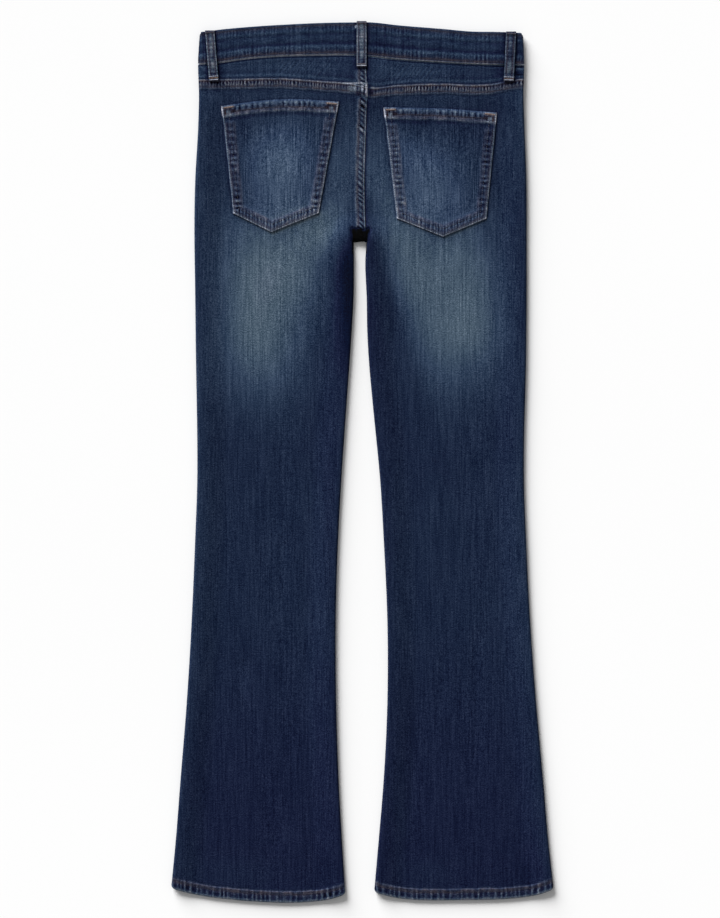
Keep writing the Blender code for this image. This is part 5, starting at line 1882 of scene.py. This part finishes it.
def declare_sheets():
    for name, (width, length, area, lies_on) in CUTS.items():
        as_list(lies_on)


def build():
    for side in (-1, 1):
        word = side_word(side)
        place(back_panel(side), "denim", f"back_panel_{word}")
        place(yoke(side), "denim", f"yoke_{word}")
        place(pocket(side), "denim_worn", f"back_pocket_{word}")
        place(front_panel(side), "denim", f"front_panel_{word}")
        place(facing(side), "denim", f"front_pocket_facing_{word}")
        place(pocket_stitches(side), "thread")
    place(waistband(), "denim", "waistband")
    for name in BACK_LOOPS:
        place(back_loop(name), "denim_worn", name)
    for name in FRONT_LOOPS:
        place(front_loop(name), "denim_worn", name)
    for rows in (waistband_stitches(), seam_stitches(), hem_stitches(), loop_stitches(), front_stitches()):
        place(rows, "thread")
    place(button(), "brass", "waist_button")
    place(zip_tape(), "zip_tape", "fly_zip")
    place(zip_teeth(), "brass")
    place(slider(), "brass", "zip_slider")


build()
declare_sheets()

# ---- floor, light and camera

VIEW_MIDDLE, VIEW_HEIGHT = (-3.1, 4.1), 1147.5  # what the camera sees of the table
LENS, SENSOR = 200.0, 36.0


def floor():
    mesh = bpy.data.meshes.new("floor")
    half = 12.0
    corners = [(half * x, half * y, 0) for x, y in ((-1, -1), (1, -1), (1, 1), (-1, 1))]
    mesh.from_pydata(corners, [], [(0, 1, 2, 3)])
    mesh.materials.append(MATERIALS["floor"])
    obj = bpy.data.objects.new("floor", mesh)
    bpy.context.scene.collection.objects.link(obj)
    obj.location.z = -0.0002
    obj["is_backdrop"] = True


def sun(name, azimuth, elevation, spread, strength):
    """A soft light. Its azimuth turns from +X towards +Y, and spread is how wide it looks."""
    lamp = bpy.data.lights.new(name, "SUN")
    lamp.energy, lamp.angle = strength, math.radians(spread)
    obj = bpy.data.objects.new(name, lamp)
    bpy.context.scene.collection.objects.link(obj)
    obj.rotation_euler = (0.0, math.radians(90 - elevation), math.radians(azimuth))


def sky(strength):
    world = bpy.data.worlds.new("studio")
    world.use_nodes = True
    back = world.node_tree.nodes["Background"]
    back.inputs["Color"].default_value = (1, 1, 1, 1)
    back.inputs["Strength"].default_value = strength
    bpy.context.scene.world = world


def camera():
    data = bpy.data.cameras.new("camera")
    data.lens, data.sensor_width = LENS, SENSOR
    data.clip_start, data.clip_end = 0.1, 100.0
    obj = bpy.data.objects.new("camera", data)
    obj.location = (VIEW_MIDDLE[0] / 1000, VIEW_MIDDLE[1] / 1000, LENS / SENSOR * VIEW_HEIGHT / 1000)
    bpy.context.scene.collection.objects.link(obj)
    bpy.context.scene.camera = obj


floor()
sun("key", azimuth=119.5, elevation=19.2, spread=39.0, strength=7.62)
sky(strength=0.30)
camera()
bpy.context.scene.view_settings.view_transform = "Standard"
bpy.context.scene.view_settings.look = "None"

VISUAL_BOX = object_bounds()
boxes = {"cad": CAD_BOX, "visual": VISUAL_BOX}
{word: [list(corner) for corner in box] for word, box in boxes.items()}
